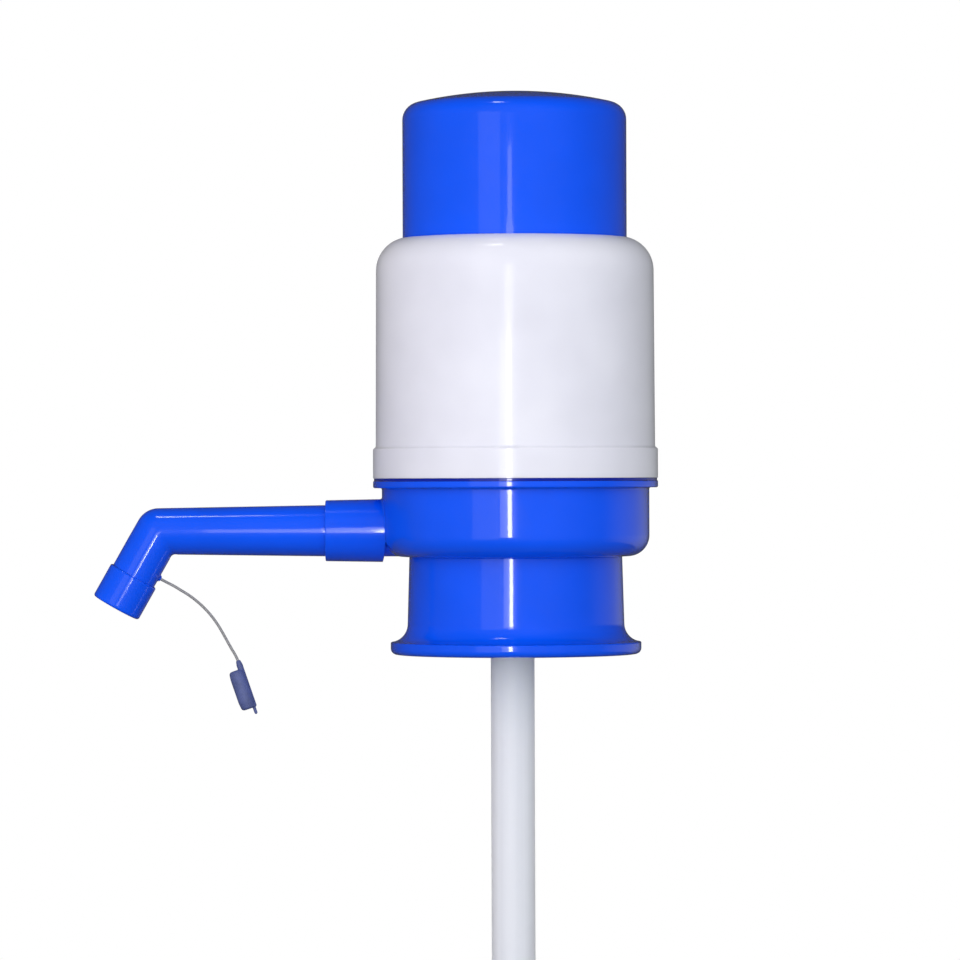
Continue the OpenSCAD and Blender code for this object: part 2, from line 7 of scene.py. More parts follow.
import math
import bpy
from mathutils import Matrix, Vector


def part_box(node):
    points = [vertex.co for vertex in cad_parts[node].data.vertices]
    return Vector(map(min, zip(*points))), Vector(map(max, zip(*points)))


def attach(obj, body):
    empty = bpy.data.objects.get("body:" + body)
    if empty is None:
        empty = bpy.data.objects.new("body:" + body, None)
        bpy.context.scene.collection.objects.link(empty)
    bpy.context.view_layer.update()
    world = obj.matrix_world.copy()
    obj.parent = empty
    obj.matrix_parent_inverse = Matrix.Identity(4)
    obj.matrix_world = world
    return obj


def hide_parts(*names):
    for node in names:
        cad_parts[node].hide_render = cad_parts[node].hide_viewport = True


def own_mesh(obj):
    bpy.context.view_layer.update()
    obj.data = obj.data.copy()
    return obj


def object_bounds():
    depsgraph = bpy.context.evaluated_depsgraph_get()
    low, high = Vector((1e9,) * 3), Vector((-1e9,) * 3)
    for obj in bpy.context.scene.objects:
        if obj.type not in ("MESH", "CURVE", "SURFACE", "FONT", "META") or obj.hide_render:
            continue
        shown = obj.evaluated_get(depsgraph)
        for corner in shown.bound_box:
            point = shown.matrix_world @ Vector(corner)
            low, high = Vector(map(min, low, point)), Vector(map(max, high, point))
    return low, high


bl_info = {
    "name": "Water Jug Hand Pump",
    "version": (1, 0, 0),
    "blender": (4, 5, 0),
    "location": "View3D > Sidebar > Hand Pump",
    "description": "Builds the finished surfaces of a water jug hand pump round its packed model",
    "category": "Add Mesh",
}

import bmesh
import bpy
from bpy.props import FloatProperty, FloatVectorProperty, IntProperty, PointerProperty
from bpy.types import Operator, Panel, PropertyGroup
from mathutils import Matrix, Vector
from mathutils.bvhtree import BVHTree
from mathutils.geometry import interpolate_bezier
from mathutils.interpolate import poly_3d_calc

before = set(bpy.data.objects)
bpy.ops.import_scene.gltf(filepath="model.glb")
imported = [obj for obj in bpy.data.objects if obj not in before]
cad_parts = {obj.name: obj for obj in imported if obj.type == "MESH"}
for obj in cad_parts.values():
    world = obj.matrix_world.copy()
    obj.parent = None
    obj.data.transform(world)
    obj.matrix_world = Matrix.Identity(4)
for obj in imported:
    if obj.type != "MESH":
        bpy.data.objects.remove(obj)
CAD_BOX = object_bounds()

MM = 0.001
SEGMENTS = 192  # sides of a large turned piece
FINE_SEGMENTS = 96  # sides of a small turned piece
ARC_STEPS = 5  # segments in a rounded corner
FOLD_ROWS, BELLOWS_SIDES = 16, 128  # rows of faces up a fold of the bellows, and sides round it
HOLD = 0.12 * MM  # the loop beside a rounded corner, which keeps the flat next to it flat
LONG_SIDE = 16 * HOLD  # a straight side longer than this has loops beside its plain corners too
SHARP_TURN = 0.35  # radians of turn from which a plain corner is a crease
ON_AXIS = 1e-7  # a point closer to the axis than this is on it
STRAY_NORMAL = 0.2  # a smooth normal whose cosine to its face is below this isn't used

# How the photograph is framed: its scale on the pump's axis and the pixel of the part's origin
PICTURE_PX = 960
PX_PER_M = 3500.0
ORIGIN_PX = (515.5, 564.5)
LEAN_DEG = 0.2  # the pump's top leans left by this much


def length(name, description, millimetres):
    """A length that a user may change."""
    return FloatProperty(name=name, description=description, default=millimetres * MM,
                         min=0.0, precision=5, unit="LENGTH")


def angle(name, description, degrees):
    """An angle that a user may change."""
    return FloatProperty(name=name, description=description, default=math.radians(degrees),
                         unit="ROTATION")


def colour(name, description, value):
    """A linear colour that a user may change."""
    return FloatVectorProperty(name=name, description=description, default=value, size=3,
                               min=0.0, max=1.0, subtype="COLOR")


def strength(name, description, value):
    """A light's strength that a user may change."""
    return FloatProperty(name=name, description=description, default=value, min=0.0)


class PumpSizes(PropertyGroup):
    """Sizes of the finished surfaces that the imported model's boxes don't give."""

    cap_radius: length("Cap radius", "Radius of the press cap", 32.0)
    cap_wall: length("Cap wall", "Wall of the press cap", 2.0)
    crown_radius: length("Crown radius", "Radius of the cap's shallow dome", 127.0)
    crown_corner: length("Crown corner", "Rounding between the crown and the side", 5.0)
    stop_thickness: length("Stop thickness", "Thickness of the cap's stop flange", 1.8)
    rib_count: IntProperty(name="Ribs", description="Ribs under the crown", default=6, min=3)
    sleeve_radius: length("Sleeve radius", "Radius of the sleeve under its shoulder", 39.65)
    sleeve_foot_radius: length("Sleeve foot radius", "Radius above the skirt", 39.9)
    sleeve_wall: length("Sleeve wall", "Wall of the sleeve", 1.8)
    shoulder_radius: length("Shoulder radius", "Radius of the sleeve's shoulder", 9.5)
    mouth_radius: length("Mouth radius", "Radius of the sleeve's mouth", 32.35)
    guide_height: length("Guide height", "Depth of the guide ring in the mouth", 6.7)
    skirt_height: length("Skirt height", "Height of the sleeve's skirt", 8.6)
    skirt_bore: length("Skirt bore", "Radius of the skirt's bore", 39.1)
    skirt_slope: length("Skirt slope", "Height of the slope above the skirt", 0.6)
    cup_radius: length("Cup radius", "Radius of the base cup", 38.2)
    cup_wall: length("Cup wall", "Wall of the base cup", 2.0)
    cup_corner: length("Cup corner", "Rounding of the cup's lower corner", 6.0)
    rim_thickness: length("Rim thickness", "Height of the cup's rim", 2.2)
    seam_depth: length("Seam depth", "Depth of the seam between the rim and the skirt", 0.25)
    seam_height: length("Seam height", "Height of that seam over the rim", 0.25)
    spigot_radius: length("Spigot radius", "Radius of the spigot in the skirt", 39.05)
    spigot_height: length("Spigot height", "Height of the spigot in the skirt", 7.0)
    ledge_width: length("Ledge width", "Width of the ledge under the valve plate", 3.2)
    ledge_depth: length("Ledge depth", "Depth of the ledge under the valve plate", 2.4)
    air_holes: IntProperty(name="Air holes", description="Air holes in the floor", default=7)
    air_hole_radius: length("Air hole radius", "Radius of an air hole", 2.0)
    air_circle: length("Air hole circle", "Radius of the circle of air holes", 14.4)
    neck_bore: length("Neck bore", "Radius of the collar's bore", 28.4)
    neck_radius: length("Neck radius", "Radius of the collar at its top", 30.4)
    neck_foot_radius: length("Neck foot radius", "Radius of the collar over its flare", 30.95)
    neck_spigot: length("Neck spigot", "Radius of the cup's ring in the collar", 29.35)
    neck_spigot_depth: length("Neck spigot depth", "Depth of that ring", 6.0)
    flange_thickness: length("Flange thickness", "Height of the collar's flange", 3.5)
    flange_round: length("Flange rounding", "Rounding under the edge of the flange", 1.7)
    flare_radius: length("Flare radius", "Radius of the flare over the flange", 5.2)
    seal_hole: length("Seal hole", "Radius of the hole in the neck seal", 17.0)
    duct_radius: length("Duct radius", "Radius of the duct across the cup", 7.4)
    duct_bore: length("Duct bore", "Radius of the duct's bore", 4.5)
    riser_radius: length("Riser radius", "Radius of the riser over the tube", 8.2)
    boss_radius: length("Boss radius", "Radius of the tube's boss", 10.0)
    socket_mouth: length("Socket mouth", "Radius of the spout socket's mouth", 8.7)
    socket_root: length("Socket root", "Radius of the socket at the cup", 9.05)
    socket_depth: length("Socket depth", "Depth of the socket's bore", 11.8)
    saddle_fillet: length("Saddle fillet", "Fillet between the socket and the cup", 0.35)
    pipe_radius: length("Pipe radius", "Radius of the spout pipe in its socket", 7.3)
    pipe_tip_radius: length("Pipe tip radius", "Radius of the pipe at its elbow", 6.6)
    leg_radius: length("Leg radius", "Radius of the slanted leg", 6.65)
    pipe_bore: length("Pipe bore", "Radius of the pipe's bore", 5.2)
    elbow_reach: length("Elbow reach", "Distance of the elbow from the axis", 102.0)
    inner_bend: length("Inner bend", "Rounding on the inside of the elbow", 1.6)
    leg_length: length("Leg length", "Length from the elbow to the nozzle's end", 25.0)
    leg_tilt: angle("Leg tilt", "Angle of the leg from straight down", 29.5)
    nozzle_radius: length("Nozzle radius", "Radius of the nozzle", 7.3)
    nozzle_length: length("Nozzle length", "Length of the nozzle", 10.4)
    nozzle_bore: length("Nozzle bore", "Radius of the nozzle's bore", 5.8)
    nozzle_mouth: length("Nozzle mouth", "Length of the nozzle past the leg", 5.0)
    lug_place: length("Lug place", "Distance of the tether's lug from the elbow", 11.6)
    tube_radius: length("Tube radius", "Radius of the suction tube", 6.25)
    tube_bore: length("Tube bore", "Radius of the suction tube's bore", 5.0)
    tube_offset: length("Tube offset", "Distance of the tube from the axis", 1.0)
    coupler_radius: length("Coupler radius", "Radius of a tube coupler", 7.7)
    notch_width: length("Notch width", "Width of the notches in the tube's foot", 2.6)
    notch_height: length("Notch height", "Height of the notches in the tube's foot", 4.0)
    fold_count: IntProperty(name="Folds", description="Folds in the bellows", default=11, min=3)
    fold_root: length("Fold root", "Radius at the foot of a fold", 23.0)
    fold_crest: length("Fold crest", "Radius at the crest of a fold", 29.2)
    bellows_wall: length("Bellows wall", "Wall of the bellows", 1.0)
    bellows_flange: length("Bellows flange", "Thickness of the bellows' flanges", 1.4)
    stroke: length("Stroke", "Travel of the cap when it is pressed", 35.0)
    line_diameter: length("Line diameter", "Thickness of the tether line", 0.8)
    stopper_radius: length("Stopper radius", "Radius of the stopper", 2.3)
    stopper_length: length("Stopper length", "Length of the stopper's body", 11.6)
    stopper_tilt: angle("Stopper tilt", "Angle of the stopper from straight down", 18.9)
    fit_gap: length("Fit gap", "Radial clearance of a push fit", 0.05)
    loose_gap: length("Loose gap", "Gap between pieces that lie together", 0.3)
    edge: length("Edge", "Rounding of an ordinary moulded edge", 0.4)


class PumpColours(PropertyGroup):
    """Colours of the pump's plastics and rubbers."""

    blue: colour("Blue", "Moulded blue plastic", (0.0012, 0.09, 0.93))
    milky: colour("Milky white", "Milky plastic of the sleeve", (0.81, 0.815, 0.915))
    tube: colour("Tube", "Translucent suction tube", (0.81, 0.84, 0.95))
    inner: colour("Inner white", "Plates and valve pins inside", (0.70, 0.71, 0.74))
    bellows: colour("Bellows", "Soft milky bellows", (0.66, 0.68, 0.74))
    rubber: colour("Rubber", "Seal, gland and O-ring", (0.045, 0.048, 0.055))
    line: colour("Line", "Tether line", (0.30, 0.30, 0.31))
    stopper: colour("Stopper", "Rubber stopper", (0.08, 0.105, 0.28))


class StageSettings(PropertyGroup):
    """Camera distance and the strength of each light."""

    camera_distance: length("Camera distance", "From the pump's axis to the camera", 1500.0)
    key: strength("Key", "Brightness of the key strip", 19.0)
    soft: strength("Soft box", "Brightness of the soft box", 0.35)
    top: strength("Top light", "Brightness of the top light", 9.0)
    side: strength("Side glow", "Glow that the gloss mirrors on its right", 0.3)
    front: strength("Front", "Light from the camera's side", 1.72)
    left: strength("Left", "Light from the left side", 1.05)
    right: strength("Right", "Light from the right side", 0.62)
    back: strength("Back", "Light from all round behind the pump", 0.05)
    rear: strength("Rear", "Light from straight behind the pump", 1.6)
    mirrored: strength("Mirrored", "Brightness of the room in the gloss", 0.06)


def sizes():
    return bpy.context.scene.pump_sizes


# ---------------------------------------------------------------- outlines and turned shapes


def arc(centre, radius, start, end, steps=10):
    """Points (r, z) of an arc about centre, from the angle start to end in degrees."""
    turns = [math.radians(start + (end - start) * i / steps) for i in range(steps + 1)]
    return [(centre[0] + radius * math.cos(t), centre[1] + radius * math.sin(t)) for t in turns]


def fan(first, last, steps):
    """Vectors turned in equal steps from first to last, which are of one length."""
    spread = first.angle(last)
    return [(first * math.sin((1 - k / steps) * spread) + last * math.sin(k / steps * spread))
            / math.sin(spread) for k in range(steps + 1)]


def rounded(corners):
    """Closed outline through corners (r, z), of which those given as (r, z, radius) are rounded."""
    points = []
    for i, corner in enumerate(corners):
        here = Vector(corner[:2])
        back = Vector(corners[i - 1][:2]) - here
        ahead = Vector(corners[(i + 1) % len(corners)][:2]) - here
        long_back, long_ahead = back.length > LONG_SIDE, ahead.length > LONG_SIDE
        back, ahead = back.normalized(), ahead.normalized()
        turn = back.angle(ahead)
        if len(corner) == 2:
            off_axis = here.x > ON_AXIS
            sharp = math.pi - turn > SHARP_TURN
            hold_back = off_axis and long_back and (sharp or not long_ahead)
            hold_ahead = off_axis and long_ahead and (sharp or not long_back)
            points += [here + back * HOLD] * hold_back + [here]
            points += [here + ahead * HOLD] * hold_ahead
            continue
        reach = corner[2] / math.tan(turn / 2)
        centre = here + (back + ahead).normalized() * corner[2] / math.sin(turn / 2)
        first, last = here + back * reach - centre, here + ahead * reach - centre
        points.append(here + back * (reach + HOLD))
        points += [centre + spoke for spoke in fan(first, last, ARC_STEPS)]
        points.append(here + ahead * (reach + HOLD))
    return points


def mesh_object(name, points, faces, smooth=True):
    """A new object whose place is in its mesh, with its faces turned outwards."""
    mesh = bpy.data.meshes.new(name)
    mesh.from_pydata([tuple(p) for p in points], [], faces)
    made = bmesh.new()
    made.from_mesh(mesh)
    bmesh.ops.remove_doubles(made, verts=made.verts, dist=1e-7)
    bmesh.ops.recalc_face_normals(made, faces=made.faces)
    made.to_mesh(mesh)
    made.free()
    mesh.polygons.foreach_set("use_smooth", [smooth] * len(mesh.polygons))
    piece = bpy.data.objects.new(name, mesh)
    bpy.context.scene.collection.objects.link(piece)
    return piece


def turned(name, corners, place=Matrix(), segments=SEGMENTS):
    """A closed piece turned about the local Z axis from its outline, then put in place."""
    points, rows = [], []
    for r, z in rounded(corners):
        if r < ON_AXIS:
            rows.append([len(points)] * segments)
            points.append(place @ Vector((0, 0, z)))
            continue
        rows.append([len(points) + k for k in range(segments)])
        for k in range(segments):
            a = 2 * math.pi * k / segments
            points.append(place @ Vector((r * math.cos(a), r * math.sin(a), z)))
    faces = []
    for row, after in zip(rows, rows[1:] + rows[:1]):
        for k in range(segments):
            n = (k + 1) % segments
            face = list(dict.fromkeys((row[k], row[n], after[n], after[k])))
            if len(face) > 2:
                faces.append(face)
    return mesh_object(name, points, faces)


def ring_outline(outer, inner, foot, head, edge):
    """Outline of a plain ring with rounded edges."""
    return [(inner, foot, edge), (outer, foot, edge), (outer, head, edge), (inner, head, edge)]


def rod_outline(radius, foot, head, edge):
    """Outline of a plain round rod with rounded ends."""
    return [(0, foot), (radius, foot, edge), (radius, head, edge), (0, head)]


def joined(name, pieces):
    """One object from several closed pieces, which it takes over."""
    made = bmesh.new()
    for piece in pieces:
        made.from_mesh(piece.data)
        bpy.data.objects.remove(piece)
    mesh = bpy.data.meshes.new(name)
    made.to_mesh(mesh)
    made.free()
    whole = bpy.data.objects.new(name, mesh)
    bpy.context.scene.collection.objects.link(whole)
    return whole


def modified(piece):
    """The piece with its modifiers applied."""
    graph = bpy.context.evaluated_depsgraph_get()
    mesh = bpy.data.meshes.new_from_object(piece.evaluated_get(graph))
    piece.modifiers.clear()
    piece.data = mesh
    mesh.name = piece.name
    return piece


# ---------------------------------------------------------------- places on the pump


def on_tube_axis():
    """Frame of the suction tube, which stands a little off the pump's axis."""
    return Matrix.Translation((-sizes().tube_offset, 0, 0))


def along_spout(x):
    """Frame whose Z runs out along the spout's axis, from the distance x of the pump's axis."""
    return Matrix.Translation((-x, 0, spout_height())) @ Matrix.Rotation(-math.pi / 2, 4, "Y")


def along_leg(s):
    """Frame whose Z runs down the slanted leg, from the distance s of the elbow."""
    z = sizes()
    turn = Matrix.Rotation(math.pi + z.leg_tilt, 4, "Y")
    return (Matrix.Translation((-z.elbow_reach, 0, spout_height())) @ turn
            @ Matrix.Translation((0, 0, s)))


def spout_height():
    low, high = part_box("spout_o_ring")
    return (low.z + high.z) / 2


# ---------------------------------------------------------------- cutting and joining solids


def source_material(index):
    """A marker that tells which of the joined solids a face came from."""
    name = f"source_{index}"
    return bpy.data.materials.get(name) or bpy.data.materials.new(name)


def normal_sampler(piece, flip):
    """Gives the piece's own smooth normal at the nearest point of its surface."""
    mesh = piece.data
    mesh.calc_loop_triangles()
    corners = [v.co.copy() for v in mesh.vertices]
    normals = [n.vector.copy() for n in mesh.corner_normals]
    triangles = [(tuple(t.vertices), tuple(t.loops)) for t in mesh.loop_triangles]
    tree = BVHTree.FromPolygons(corners, [face for face, _ in triangles])

    def sample(point):
        near, _, index, _ = tree.find_nearest(point)
        face, loops = triangles[index]
        weights = poly_3d_calc([corners[v] for v in face], near)
        normal = sum((normals[k] * w for k, w in zip(loops, weights)), Vector())
        return -normal.normalized() if flip else normal.normalized()

    return sample


def solid(name, added, removed):
    """One solid from those added less those removed.

    Each face keeps the smooth normals of the solid it came from, so the creases stay crisp.
    """
    parts = added + removed
    markers = [source_material(i) for i in range(len(parts))]
    for i, part in enumerate(parts):
        part.data.materials.clear()
        for marker in markers:
            part.data.materials.append(marker)
        part.data.polygons.foreach_set("material_index", [i] * len(part.data.polygons))
    samplers = [normal_sampler(p, i >= len(added)) for i, p in enumerate(parts)]
    whole = parts[0].copy()
    whole.data = parts[0].data.copy()
    whole.name = name
    bpy.context.scene.collection.objects.link(whole)
    for i, part in enumerate(parts[1:], start=1):
        cut = whole.modifiers.new(part.name, "BOOLEAN")
        cut.object = part
        cut.solver = "EXACT"
        cut.operation = "UNION" if i < len(added) else "DIFFERENCE"
        cut.material_mode = "INDEX"
    modified(whole)
    for part in parts:
        bpy.data.objects.remove(part)
    mesh = whole.data
    normals = [None] * len(mesh.loops)
    for face in mesh.polygons:
        sample = samplers[face.material_index]
        for k, v in zip(face.loop_indices, face.vertices):
            normal = sample(mesh.vertices[v].co)
            normals[k] = normal if normal.dot(face.normal) > STRAY_NORMAL else face.normal.copy()
    mesh.polygons.foreach_set("material_index", [0] * len(mesh.polygons))
    mesh.materials.clear()
    mesh.polygons.foreach_set("use_smooth", [True] * len(mesh.polygons))
    mesh.normals_split_custom_set([tuple(n) for n in normals])
    return whole


# ---------------------------------------------------------------- nodes and copies round an axis


def add_node(tree, kind, inputs=None, **settings):
    """A new node with its settings.

    Each input is a value, another node's output or another node, whose first output it takes.
    """
    node = tree.nodes.new(kind)
    for name, value in settings.items():
        setattr(node, name, value)
    for socket, value in (inputs or {}).items():
        if isinstance(value, bpy.types.Node):
            value = value.outputs[0]
        if isinstance(value, bpy.types.NodeSocket):
            tree.links.new(value, node.inputs[socket])
        else:
            node.inputs[socket].default_value = value
    return node


def maths(tree, operation, *values):
    """A node that works out one operation on its values."""
    return add_node(tree, "ShaderNodeMath", dict(enumerate(values)), operation=operation)


def spread_from(tree, value, low, high, start, end, easing="LINEAR"):
    """A node that takes the value from the range low to high to the range start to end."""
    return add_node(tree, "ShaderNodeMapRange",
                    {"Value": value, "From Min": low, "From Max": high, "To Min": start,
                     "To Max": end}, interpolation_type=easing)


def blend(tree, factor, first, last):
    """The colour between first and last at the factor."""
    return add_node(tree, "ShaderNodeMix", {"Factor": factor, "A": first, "B": last},
                    data_type="RGBA").outputs["Result"]


def new_group(name, inputs, result):
    """A Geometry Nodes tree with its named inputs, as (name, kind), and the one result."""
    tree = bpy.data.node_groups.new(name, "GeometryNodeTree")
    for socket, kind in inputs:
        tree.interface.new_socket(socket, in_out="INPUT", socket_type="NodeSocket" + kind)
    tree.interface.new_socket(result, in_out="OUTPUT", socket_type="NodeSocketGeometry")
    return tree, tree.nodes.new("NodeGroupInput").outputs


def end_group(tree, shape, material):
    """Ends the tree with its shape made real and given its material."""
    real = add_node(tree, "GeometryNodeRealizeInstances", {0: shape})
    finish = add_node(tree, "GeometryNodeSetMaterial", {"Geometry": real, "Material": material})
    add_node(tree, "NodeGroupOutput", {0: finish})
    return tree


def copies_tree():
    """Geometry Nodes tree that sets copies of a piece round the Z axis of the pump."""
    name = "copies_round_axis"
    if name in bpy.data.node_groups:
        return bpy.data.node_groups[name]
    tree, entry = new_group(name, (("Copy", "Geometry"), ("Count", "Int"), ("Start", "Float"),
                                   ("Step", "Float"), ("Radius", "Float"),
                                   ("Material", "Material")), "Copies")
    points = add_node(tree, "GeometryNodeMeshLine",
                      {"Count": entry["Count"], "Offset": (0, 0, 0)}, mode="OFFSET")
    index = add_node(tree, "GeometryNodeInputIndex")
    turn = maths(tree, "MULTIPLY_ADD", index, entry["Step"], entry["Start"])
    spin = add_node(tree, "ShaderNodeCombineXYZ", {"Z": turn})
    reach = add_node(tree, "ShaderNodeCombineXYZ", {"X": entry["Radius"]})
    copies = add_node(tree, "GeometryNodeInstanceOnPoints",
                      {"Points": points, "Instance": entry["Copy"], "Rotation": spin})
    shift = add_node(tree, "GeometryNodeTranslateInstances",
                     {"Instances": copies, "Translation": reach})
    return end_group(tree, shift, entry["Material"])


def set_inputs(modifier, values):
    """Sets a Geometry Nodes modifier's inputs by the names of their sockets."""
    for item in modifier.node_group.interface.items_tree:
        if item.item_type == "SOCKET" and item.in_out == "INPUT" and item.name in values:
            modifier[item.identifier] = values[item.name]


def round_axis(piece, count, start, step, radius=0.0, material=None):
    """The piece and its copies, moved out by radius and turned about the Z axis in equal steps."""
    copies = piece.modifiers.new("copies", "NODES")
    copies.node_group = copies_tree()
    set_inputs(copies, {"Count": count, "Start": math.radians(start), "Step": math.radians(step),
                        "Radius": radius, "Material": material})
    return modified(piece)


# ---------------------------------------------------------------- materials


def shader(name, finish_colour, **constants):
    """A principled material with its constants on the shader's own sockets."""
    material = bpy.data.materials.new(name)
    material.use_nodes = True
    principled = material.node_tree.nodes["Principled BSDF"]
    principled.inputs["Base Color"].default_value = (*finish_colour, 1)
    for socket, value in constants.items():
        principled.inputs[socket.replace("_", " ")].default_value = value
    return material, principled


def noise(material, scale, detail=3.0, roughness=0.55, stretch=(1, 1, 1)):
    """Noise over the object's own coordinates, at scale features to the metre."""
    tree = material.node_tree
    place = add_node(tree, "ShaderNodeTexCoord").outputs["Object"]
    mapping = add_node(tree, "ShaderNodeMapping", {"Vector": place, "Scale": stretch})
    return add_node(tree, "ShaderNodeTexNoise",
                    {"Vector": mapping, "Scale": scale, "Detail": detail,
                     "Roughness": roughness}).outputs["Fac"]


def height_in(material):
    """The height of a point of the object."""
    place = add_node(material.node_tree, "ShaderNodeTexCoord").outputs["Object"]
    return add_node(material.node_tree, "ShaderNodeSeparateXYZ", {0: place}).outputs["Z"]


def ranged(material, pattern, low, high):
    """The middle of a noise pattern's values spread from low to high."""
    return spread_from(material.node_tree, pattern, 0.3, 0.7, low, high)


def two_tone(material, pattern, value, dark, light):
    """The colour value, its shade going from the factor dark to light over the pattern."""
    return blend(material.node_tree, ranged(material, pattern, 0, 1), shade_of(value, dark),
                 shade_of(value, light))


def surfaced(material, principled, tone, gloss, bumps):
    """Sets the colour, the roughness and the bumps, given as (pattern, height), one on another."""
    tree = material.node_tree
    last = None
    for pattern, distance in bumps:
        heights = {"Height": pattern, "Distance": distance, "Strength": 1.0}
        last = add_node(tree, "ShaderNodeBump", heights | ({"Normal": last} if last else {}))
    tree.links.new(tone, principled.inputs["Base Color"])
    tree.links.new(gloss.outputs[0], principled.inputs["Roughness"])
    tree.links.new(last.outputs[0], principled.inputs["Normal"])
    return material


def shade_of(value, factor):
    return (*(min(1.0, c * factor) for c in value), 1)


def moulded_plastic(name, value, roughness, **constants):
    """Moulded plastic: faint mottle, a slight orange peel and hairline rub marks in the gloss."""
    material, principled = shader(name, value, **constants)
    rub = noise(material, 300, 3)
    return surfaced(material, principled,
                    two_tone(material, noise(material, 38, 2), value, 0.95, 1.04),
                    ranged(material, rub, roughness, roughness + 0.04),
                    [(noise(material, 60, 1), 0.012 * MM), (noise(material, 420, 1), 0.002 * MM)])


def blue_plastic():
    """Blue plastic, with painted shade in the seam between the cup's rim and the sleeve."""
    value = bpy.context.scene.pump_colours.blue
    material = moulded_plastic("blue_plastic_finish", value, 0.16, IOR=1.5,
                               Specular_IOR_Level=0.3, Coat_Weight=1.0, Coat_Roughness=0.04)
    tree = material.node_tree
    surface = tree.nodes["Principled BSDF"].inputs["Base Color"]
    # Painted shade: a darker band of heights at the sleeve's foot, where the rim's top lies in the
    # seam's shadow
    middle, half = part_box("outer_sleeve")[0].z - 0.12 * MM, 0.52 * MM
    seam = maths(tree, "COMPARE", height_in(material), middle, half)
    painted_seam_shade = (value[0], value[1] * 0.15, value[2] * 0.35, 1)
    tree.links.new(blend(tree, seam, surface.links[0].from_socket, painted_seam_shade), surface)
    return material


def milky_plastic():
    """Milky plastic of the sleeve, which lets a little light in under its surface."""
    return moulded_plastic("milky_plastic_finish", bpy.context.scene.pump_colours.milky, 0.2,
                           IOR=1.5, Coat_Weight=0.5, Coat_Roughness=0.03,
                           Subsurface_Weight=0.3, Subsurface_Scale=0.002,
                           Subsurface_Radius=(1, 1, 1), Sheen_Weight=0.2,
                           Sheen_Roughness=0.6)


def tube_plastic():
    """Drawn tube, with long faint flow lines along it and a painted blue reflection of the collar
    at its top.
    """
    value = bpy.context.scene.pump_colours.tube
    material, principled = shader("tube_plastic_finish", value, IOR=1.5, Subsurface_Weight=0.5,
                                  Subsurface_Scale=0.003, Subsurface_Radius=(1, 1, 1),
                                  Sheen_Weight=0.6, Sheen_Roughness=0.6)
    tree = material.node_tree
    lines = noise(material, 500, 2, 0.5, (1, 1, 0.01))
    # Painted reflection: the colour turns to the collar's reflected blue at the collar's foot,
    # fading out over 25 mm below it
    foot, reach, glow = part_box("neck_collar")[0].z, 25 * MM, (0.8, 0.87, 1.0, 1)
    near = spread_from(tree, height_in(material), foot - reach, foot, 0, 1)
    tone = blend(tree, near, two_tone(material, lines, value, 0.965, 1.03), glow)
    return surfaced(material, principled, tone, ranged(material, lines, 0.3, 0.42),
                    [(lines, 0.012 * MM)])


def inner_plastic():
    return moulded_plastic("inner_plastic_finish", bpy.context.scene.pump_colours.inner, 0.32,
                           IOR=1.5)


def bellows_plastic():
    """Blown film of the bellows, a little cloudy and duller in its folds."""
    value = bpy.context.scene.pump_colours.bellows
    material, principled = shader("bellows_plastic_finish", value, IOR=1.48, Subsurface_Weight=0.4,
                                  Subsurface_Scale=0.0015, Subsurface_Radius=(1, 1, 1))
    cloud = noise(material, 90, 3)
    return surfaced(material, principled, two_tone(material, cloud, value, 0.92, 1.05),
                    ranged(material, cloud, 0.36, 0.5), [(cloud, 0.03 * MM)])


def rubber(name, value, roughness):
    """Matt rubber with a fine grain and a dusty bloom."""
    material, principled = shader(name, value, IOR=1.5)
    bloom = noise(material, 240, 3)
    return surfaced(material, principled, two_tone(material, bloom, value, 0.85, 1.25),
                    ranged(material, bloom, roughness, roughness + 0.14),
                    [(noise(material, 2600, 2), 0.012 * MM)])


def soft_rubber():
    return rubber("soft_rubber_finish", bpy.context.scene.pump_colours.rubber, 0.6)


def stopper_rubber():
    return rubber("stopper_rubber_finish", bpy.context.scene.pump_colours.stopper, 0.42)


def tether_cord():
    """Drawn nylon line, with a fine lengthwise sheen."""
    value = bpy.context.scene.pump_colours.line
    material, principled = shader("tether_cord_finish", value, IOR=1.52)
    flecks = noise(material, 1800, 2)
    return surfaced(material, principled, two_tone(material, flecks, value, 0.85, 1.12),
                    ranged(material, flecks, 0.35, 0.5), [(flecks, 0.01 * MM)])


MATERIALS = {"blue_plastic": blue_plastic, "milky_plastic": milky_plastic,
             "tube_plastic": tube_plastic, "inner_plastic": inner_plastic,
             "bellows_plastic": bellows_plastic, "soft_rubber": soft_rubber,
             "tether_cord": tether_cord, "stopper_rubber": stopper_rubber}


def material_of(slot):
    """The finish of a slot of the record, made the first time it is asked for."""
    return bpy.data.materials.get(slot + "_finish") or MATERIALS[slot]()


def dress(piece, slot, body, *nodes):
    """Gives a finished piece its material, its body and the CAD nodes that it stands for."""
    piece.data.materials.clear()
    piece.data.materials.append(material_of(slot))
    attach(piece, body)
    if nodes:
        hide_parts(*nodes)
    return piece


# ---------------------------------------------------------------- camera, lights and floor


# The key strip widens and dims towards its top: name, width, height, level of its foot, brightness
KEY_PARTS = (("key_low", 0.036, 0.093, -0.065, 1.0), ("key_middle", 0.036, 0.061, 0.028, 0.4),
             ("key_high", 0.075, 0.035, 0.089, 0.12), ("key_tip", 0.045, 0.03, 0.124, 0.1))
KEY_AZIMUTH, KEY_DISTANCE = -5.1, 0.6

# The studio's light by direction, in the direction's own X, Y and Z. The front light fades
# over this stretch of Y, sooner under the horizon, and the others start at these values
FRONT_FROM, FRONT_TO, FRONT_DROP = -0.85, -0.25, -0.3
SIDE_FROM, REAR_FROM = 0.7, 0.6
LEFT_TINT, RIGHT_TINT, TINT_TO = (1, 0.972, 0.985, 1), (0.96, 0.985, 1, 1), 0.6
# The glow that only the gloss mirrors: where it is, the cosine that it starts at and its heights
GLOW_TOWARDS, GLOW_FROM = (0.84, 0.54, 0), 0.7
GLOW_TOP, GLOW_FULL = 0.06, -0.03


